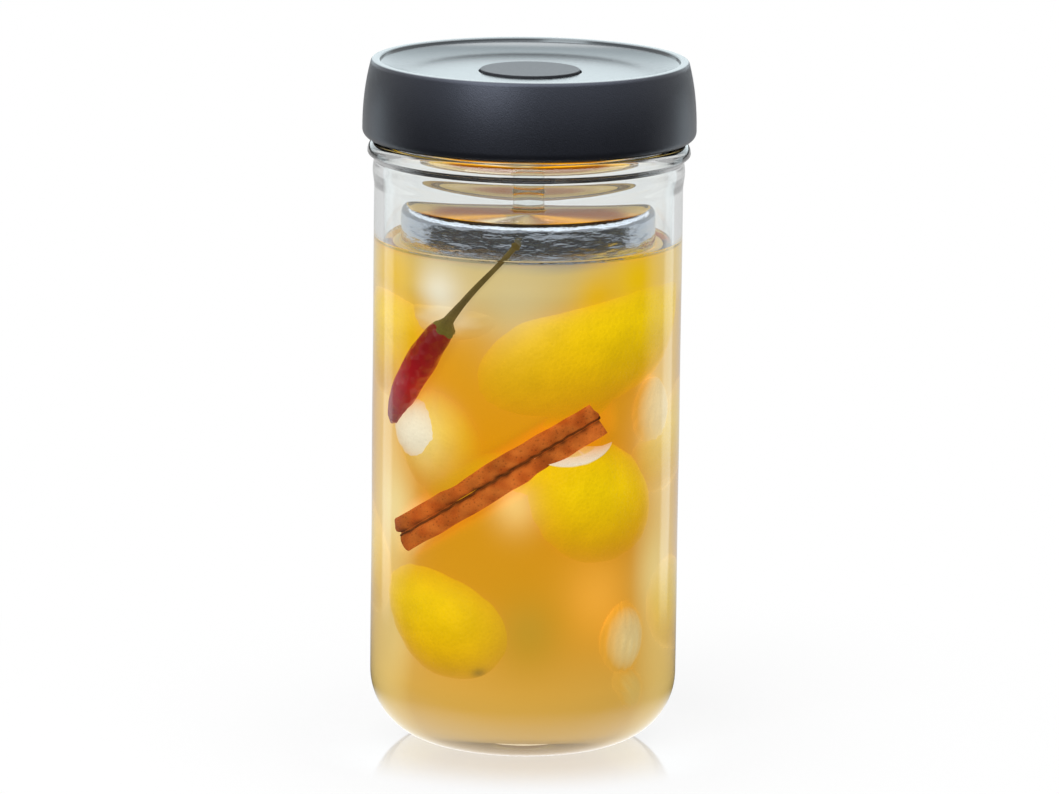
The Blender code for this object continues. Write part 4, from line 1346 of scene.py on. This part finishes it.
# Silicone has a dry, slightly powdery surface: white for the gasket, milky for the valve's membrane
# and dark for the sleeve that grips the stem
SILICONE = {
    "lid_gasket": ("white_moulded_silicone", "#E0E0DB", "#EBEBE7", 0.5),
    "valve_membrane": ("milky_moulded_silicone", "#CFCBC2", "#DAD7CF", 0.45),
    "weight_socket": ("dark_moulded_silicone", "#2B2622", "#36302B", 0.5),
}
for node, (name, code, light_code, roughness) in SILICONE.items():
    dress(nodes[node], moulded(name, code, light_code, 0.8 * MM, 0.02 * MM, roughness))

# %% [markdown]
# Glass makes deep shadows in a path tracer, because light that bends can't be traced back to a lamp.
# The usual way round it is used here. The jar and the weight cast no shadow, and the brine's material
# lets shadow rays pass, so that the lamps reach the fruit. Light that would get there by bending is
# left out, so that nothing is counted twice.

# %% Light through glass
GLASS_BOUNCES = 32
GLOSS_BOUNCES = 8
for piece in (jar, weight):
    piece.visible_shadow = False
scene = bpy.context.scene
scene.cycles.caustics_refractive = False
scene.cycles.caustics_reflective = False
scene.cycles.max_bounces = GLASS_BOUNCES
scene.cycles.transmission_bounces = GLASS_BOUNCES
scene.cycles.glossy_bounces = GLOSS_BOUNCES
scene.view_settings.view_transform = "Standard"
print("bounces through glass:", GLASS_BOUNCES)

# %% [markdown]
# The studio floor is a white sheet, with a patch under the jar that is smooth enough to mirror its
# foot in a short, faint image. A sheet of glossy plastic would mirror the whole jar, so the gloss
# fades out with the distance from the axis. Far out the floor is plain white to the rays that look at
# it, and near the jar it keeps the jar's shadow. What the lid mirrors of it is dark, as the black
# cards beside a studio table are, and that gives the lid's side its depth.

# %% Floor
FLOOR_RADIUS = 3.0
FLOOR_RINGS = [0.02, 0.05, 0.1, 0.3, 1.0, FLOOR_RADIUS]
FLOOR_COLUMNS = 96
FLOOR_LEVEL = -0.05 * MM
FLOOR_THICKNESS = 0.01
GLOSS_NEAR = 46.0 * MM
GLOSS_FAR = 86.0 * MM
GLOSS_SHARE = 0.40
GLOSS_BLUR = 0.05
WHITE_NEAR = 62.0 * MM
WHITE_FAR = 260.0 * MM
WHITE_SHARE = 0.75
DARK_NEAR = 50.0 * MM
DARK_FAR = 95.0 * MM
BEHIND_FAR = 0.3
FLOOR_BY_FOOT = 1.3
FLOOR_IN_GLOSS = 0.06
FLOOR_BEHIND = 0.7
FLOOR_THROUGH_GLASS = 0.9


def make_floor():
    """A thin disc just under the foot."""
    angle = np.linspace(0.0, TURN, FLOOR_COLUMNS, endpoint=False)[None, :]
    radius = spread(FLOOR_RINGS, FLOOR_COLUMNS)
    top = round_grid(radius, angle, np.full_like(radius, FLOOR_LEVEL))
    under = top[-1:] - np.array([0.0, 0.0, FLOOR_THICKNESS])
    poles = [(0.0, 0.0, FLOOR_LEVEL), (0.0, 0.0, -FLOOR_THICKNESS)]
    floor = grid_piece("studio_floor", np.concatenate([top, under]), poles)
    return floor


def floor_material():
    """White paint; a ring of gloss round the foot; far out, plain white to the rays that look at it."""
    made, tree, shader = start("white_studio_floor", Base_Color=rgba("#F4F4F4"), Roughness=0.9)
    place = add(tree, "TexCoord")
    rays = add(tree, "LightPath")
    camera = rays.outputs["Is Camera Ray"]
    axes = add(tree, "SeparateXYZ", None, {0: place.outputs["Object"]})
    far = add(tree, "VectorMath", {"operation": "LENGTH"}, {0: place.outputs["Object"]})
    distance = {"Value": far.outputs["Value"]}

    # How bright it is: dark in mirrors in front, lighter behind, and white to the camera
    settings = {**SOFT, "From Min": DARK_NEAR, "From Max": DARK_FAR}
    settings = {**settings, "To Min": FLOOR_BY_FOOT, "To Max": FLOOR_IN_GLOSS}
    mirrored = add(tree, "MapRange", settings, distance)
    settings = {**SOFT, "From Min": 0.0, "From Max": BEHIND_FAR, "To Min": 0.0, "To Max": FLOOR_BEHIND}
    behind = add(tree, "MapRange", settings, {"Value": axes.outputs[1]})
    mirrored = add(tree, "Math", {"operation": "MAXIMUM"}, {0: mirrored, 1: behind})
    straight = add(tree, "Math", {"operation": "LESS_THAN", 1: 0.5}, {0: rays.outputs["Glossy Depth"]})
    shown = add(tree, "Mix", {"data_type": "FLOAT", 3: FLOOR_THROUGH_GLASS}, {0: straight, 2: mirrored})
    shown = add(tree, "Mix", {"data_type": "FLOAT", 3: 1.0}, {0: camera, 2: shown})
    white = add(tree, "Emission", None, {"Strength": shown})

    # Which rays find that light in place of the lit paint
    links = {0: rays.outputs["Is Glossy Ray"], 1: rays.outputs["Is Transmission Ray"]}
    either = add(tree, "Math", {"operation": "MAXIMUM"}, links)
    settings = {**SOFT, "From Min": WHITE_NEAR, "From Max": WHITE_FAR, "To Min": WHITE_SHARE}
    share = add(tree, "MapRange", settings, distance)
    factor = add(tree, "Mix", {"data_type": "FLOAT"}, {0: camera, 2: either, 3: share})
    paint_and_white = add(tree, "MixShader", None, {0: factor, 1: shader, 2: white})

    # The gloss round the foot
    settings = {**SOFT, "From Min": GLOSS_NEAR, "From Max": GLOSS_FAR}
    gloss = add(tree, "MapRange", {**settings, "To Min": GLOSS_SHARE, "To Max": 0.0}, distance)
    seen = add(tree, "Math", {"operation": "MULTIPLY"}, {0: gloss, 1: camera})
    mirror = add(tree, "BsdfGlossy", {"Color": rgba("#FFFFFF"), "Roughness": GLOSS_BLUR})
    both = add(tree, "MixShader", None, {0: seen, 1: paint_and_white, 2: mirror})
    feed(tree, tree.nodes["Material Output"], {"Surface": both})
    return made


dress(make_floor(), floor_material())

# %% [markdown]
# The world is the empty studio round the jar. To the camera it is plain white. Gloss finds a dim
# horizon, a white sky and a bright ceiling, so that the lid's top is light and its side dark. Light
# that bends straight through the glass finds a darker ceiling, which keeps the brine's colour deep.
# Light that was mirrored inside the glass on its way finds a bright ceiling over darker sides, which
# gives the weight's top its amber. A real room, modelled, could do the same with far more work.

# %% World
AMBIENT = 0.85
HORIZON_GLOW = 0.12
SKY_GLOW = 1.0
SKY_FROM, SKY_FULL = -0.02, 0.15
OVERHEAD_GLOW = 4.0
OVERHEAD_FROM, OVERHEAD_FULL = 0.4, 0.8
CEILING_DARK = 0.25
CEILING_FROM, CEILING_FULL = 0.22, 0.60
INSIDE_LOW, INSIDE_HIGH = 0.42, 1.5
INSIDE_FROM, INSIDE_FULL = 0.22, 0.5


def make_world():
    """White to the camera; to other rays, levels that change with how far up the ray goes."""
    world = bpy.data.worlds.new("studio")
    world.use_nodes = True
    tree = world.node_tree
    rays = add(tree, "LightPath")
    place = add(tree, "TexCoord")
    axes = add(tree, "SeparateXYZ", None, {0: place.outputs["Generated"]})
    upward = {"Value": axes.outputs["Z"]}

    settings = {**SOFT, "From Min": SKY_FROM, "From Max": SKY_FULL}
    low = add(tree, "MapRange", {**settings, "To Min": HORIZON_GLOW, "To Max": SKY_GLOW}, upward)
    settings = {**SOFT, "From Min": OVERHEAD_FROM, "From Max": OVERHEAD_FULL}
    high = add(tree, "MapRange", {**settings, "To Min": 0.0, "To Max": OVERHEAD_GLOW}, upward)
    gloss = add(tree, "Math", {"operation": "ADD"}, {0: low, 1: high})
    settings = {**SOFT, "From Min": CEILING_FROM, "From Max": CEILING_FULL}
    ceiling = add(tree, "MapRange", {**settings, "To Min": 1.0, "To Max": CEILING_DARK}, upward)
    settings = {**SOFT, "From Min": INSIDE_FROM, "From Max": INSIDE_FULL}
    inside = add(tree, "MapRange", {**settings, "To Min": INSIDE_LOW, "To Max": INSIDE_HIGH}, upward)

    links = {0: rays.outputs["Is Glossy Ray"], 3: gloss}
    level = add(tree, "Mix", {"data_type": "FLOAT", 2: AMBIENT}, links)
    links = {0: rays.outputs["Is Transmission Ray"], 2: level, 3: inside}
    level = add(tree, "Mix", {"data_type": "FLOAT"}, links)
    links = {0: rays.outputs["Is Transmission Ray"], 1: rays.outputs["Glossy Depth"]}
    bent = add(tree, "Math", {"operation": "GREATER_THAN"}, links)
    level = add(tree, "Mix", {"data_type": "FLOAT"}, {0: bent, 2: level, 3: ceiling})
    level = add(tree, "Mix", {"data_type": "FLOAT", 3: 1.0}, {0: rays.outputs["Is Camera Ray"], 2: level})

    background = tree.nodes["Background"]
    background.inputs["Color"].default_value = (1.0, 1.0, 1.0, 1.0)
    feed(tree, background, {"Strength": level})
    bpy.context.scene.world = world
    print("world:", world.name)


make_world()

# %% [markdown]
# One soft lamp lights the jar from the upper left in front. Two tall panels stand close behind the
# jar, one to each side, and their glow runs down both sides of the glass as pale streaks. A broad
# panel, far behind and above, lies on the lid's plate as a cool light. Lamps would do too, but a
# panel's glow can fade softly at its edges. Only gloss sees the panels. The lid's one is also hidden
# from light that has come through glass.

# %% Lamp and panels
MIDDLE = (0.0, 0.0, 0.12)
KEY_PLACE = (-0.60, -1.05, 0.85)
KEY_SIZE = 0.8
KEY_POWER = 8.0
RIM_GLOW = 1.7
SKY_PANEL_GLOW = 2.15
PANEL_TINT = "#EAF6FA"
PANEL_THICKNESS = 0.002
PANEL_CORE = 0.2
PANEL_FADE = 0.2
SKY_PANEL_FADE = 0.08


def softbox(name, place, aim, size, power):
    """A square lamp at place, pointed at aim: it shines along its own -Z."""
    lamp = bpy.data.lights.new(name, "AREA")
    lamp.shape, lamp.size, lamp.size_y, lamp.energy = "RECTANGLE", size, size, power
    holder = bpy.data.objects.new(name, lamp)
    bpy.context.scene.collection.objects.link(holder)
    turn = facing(np.array(place) - np.array(aim), 0.0)
    rows = [[*turn[at], place[at]] for at in range(3)]
    holder.matrix_world = Matrix([*rows, [0.0, 0.0, 0.0, 1.0]])
    holder.visible_camera = False
    holder.visible_transmission = False
    print(f"{name}: {power} W")


def glow_panel(name, place, width, height, strength, fade_to=PANEL_FADE, only_direct=False):
    """A glowing upright panel with soft edges, turned to the jar, which only gloss can see."""
    turn = facing((-place[0], -place[1], 0.0), 0.0)
    corner = np.array([[-1.0, -1.0], [1.0, -1.0], [1.0, 1.0], [-1.0, 1.0]]) / 2.0
    up = np.array([0.0, 0.0, 1.0])
    side = np.cross(up, turn[:, 2])
    outline = corner[:, :1] * width * side + corner[:, 1:] * height * up
    grid = np.stack([outline, outline - PANEL_THICKNESS * turn[:, 2]])
    panel = grid_piece(name, grid, [grid[0].mean(axis=0), grid[1].mean(axis=0)])
    panel.location = place
    panel.visible_camera = panel.visible_diffuse = False
    panel.visible_transmission = panel.visible_shadow = False
    dress(panel, glow_material(name + "_glow", width, height, strength, fade_to, only_direct))


def glow_material(name, width, height, strength, fade_to, only_direct):
    """Light that is full in the middle and fades to clear at the sides and at the foot."""
    made, tree, _ = start(name)
    place = add(tree, "TexCoord")
    axes = add(tree, "SeparateXYZ", None, {0: place.outputs["Object"]})
    level = add(tree, "CombineXYZ", None, {0: axes, 1: axes.outputs[1]})
    off = add(tree, "VectorMath", {"operation": "LENGTH"}, {0: level})
    settings = {**SOFT, "From Min": PANEL_CORE * width, "From Max": 0.5 * width}
    settings = {**settings, "To Min": 1.0, "To Max": 0.0}
    across = add(tree, "MapRange", settings, {"Value": off.outputs["Value"]})
    settings = {**SOFT, "From Min": -0.5 * height, "From Max": (fade_to - 0.5) * height}
    fade = add(tree, "MapRange", settings, {"Value": axes.outputs[2]})
    glow = add(tree, "Math", {"operation": "MULTIPLY"}, {0: across, 1: fade})
    rays = add(tree, "LightPath")
    settings = {"operation": "MULTIPLY", 1: float(only_direct), "use_clamp": True}
    through = add(tree, "Math", settings, {0: rays.outputs["Transmission Depth"]})
    shown = add(tree, "Math", {"operation": "SUBTRACT", "use_clamp": True}, {0: glow, 1: through})
    light = add(tree, "Emission", {"Color": rgba(PANEL_TINT), "Strength": strength})
    clear = add(tree, "BsdfTransparent")
    both = add(tree, "MixShader", None, {0: shown, 1: clear, 2: light})
    feed(tree, tree.nodes["Material Output"], {"Surface": both})
    return made


softbox("key_softbox", KEY_PLACE, MIDDLE, KEY_SIZE, KEY_POWER)
glow_panel("left_rim_panel", (-0.174, 0.073, 0.115), 0.060, 0.225, RIM_GLOW)
glow_panel("right_rim_panel", (0.166, 0.086, 0.115), 0.066, 0.225, RIM_GLOW)
glow_panel("lid_panel", (0.0, 0.80, 0.60), 1.6, 0.80, SKY_PANEL_GLOW, SKY_PANEL_FADE, True)

# %% [markdown]
# The camera. The ellipses of the lid and the foot in the photograph fix its angle: it looks down by
# about eleven degrees from far away, with a long lens, and leans a little to one side.

# %% Camera
CAMERA_DISTANCE = 2.5
CAMERA_ELEVATION = 11.17
CAMERA_ROLL = 0.73
FOCAL_PIXELS = 7148.0
PHOTO_WIDTH = 1059.0
SENSOR_WIDTH = 36.0
AIM = np.array([0.0012, 0.0, 0.1212])


def make_camera():
    """Stands at AIM + distance * (0, -cos e, sin e), looks at AIM and is rolled about its view."""
    data = bpy.data.cameras.new("portrait_camera")
    data.sensor_width = SENSOR_WIDTH
    data.lens = FOCAL_PIXELS / PHOTO_WIDTH * SENSOR_WIDTH
    data.clip_start, data.clip_end = 0.1, 50.0
    camera = bpy.data.objects.new("portrait_camera", data)
    bpy.context.scene.collection.objects.link(camera)
    rise, roll = np.radians(CAMERA_ELEVATION), np.radians(CAMERA_ROLL)
    camera.location = AIM + CAMERA_DISTANCE * np.array([0.0, -np.cos(rise), np.sin(rise)])
    camera.rotation_euler = (np.pi / 2.0 - rise, 0.0, 0.0)
    camera.rotation_euler.rotate_axis("Z", roll)
    bpy.context.scene.camera = camera
    print(f"camera: lens {data.lens:.0f} mm")


make_camera()
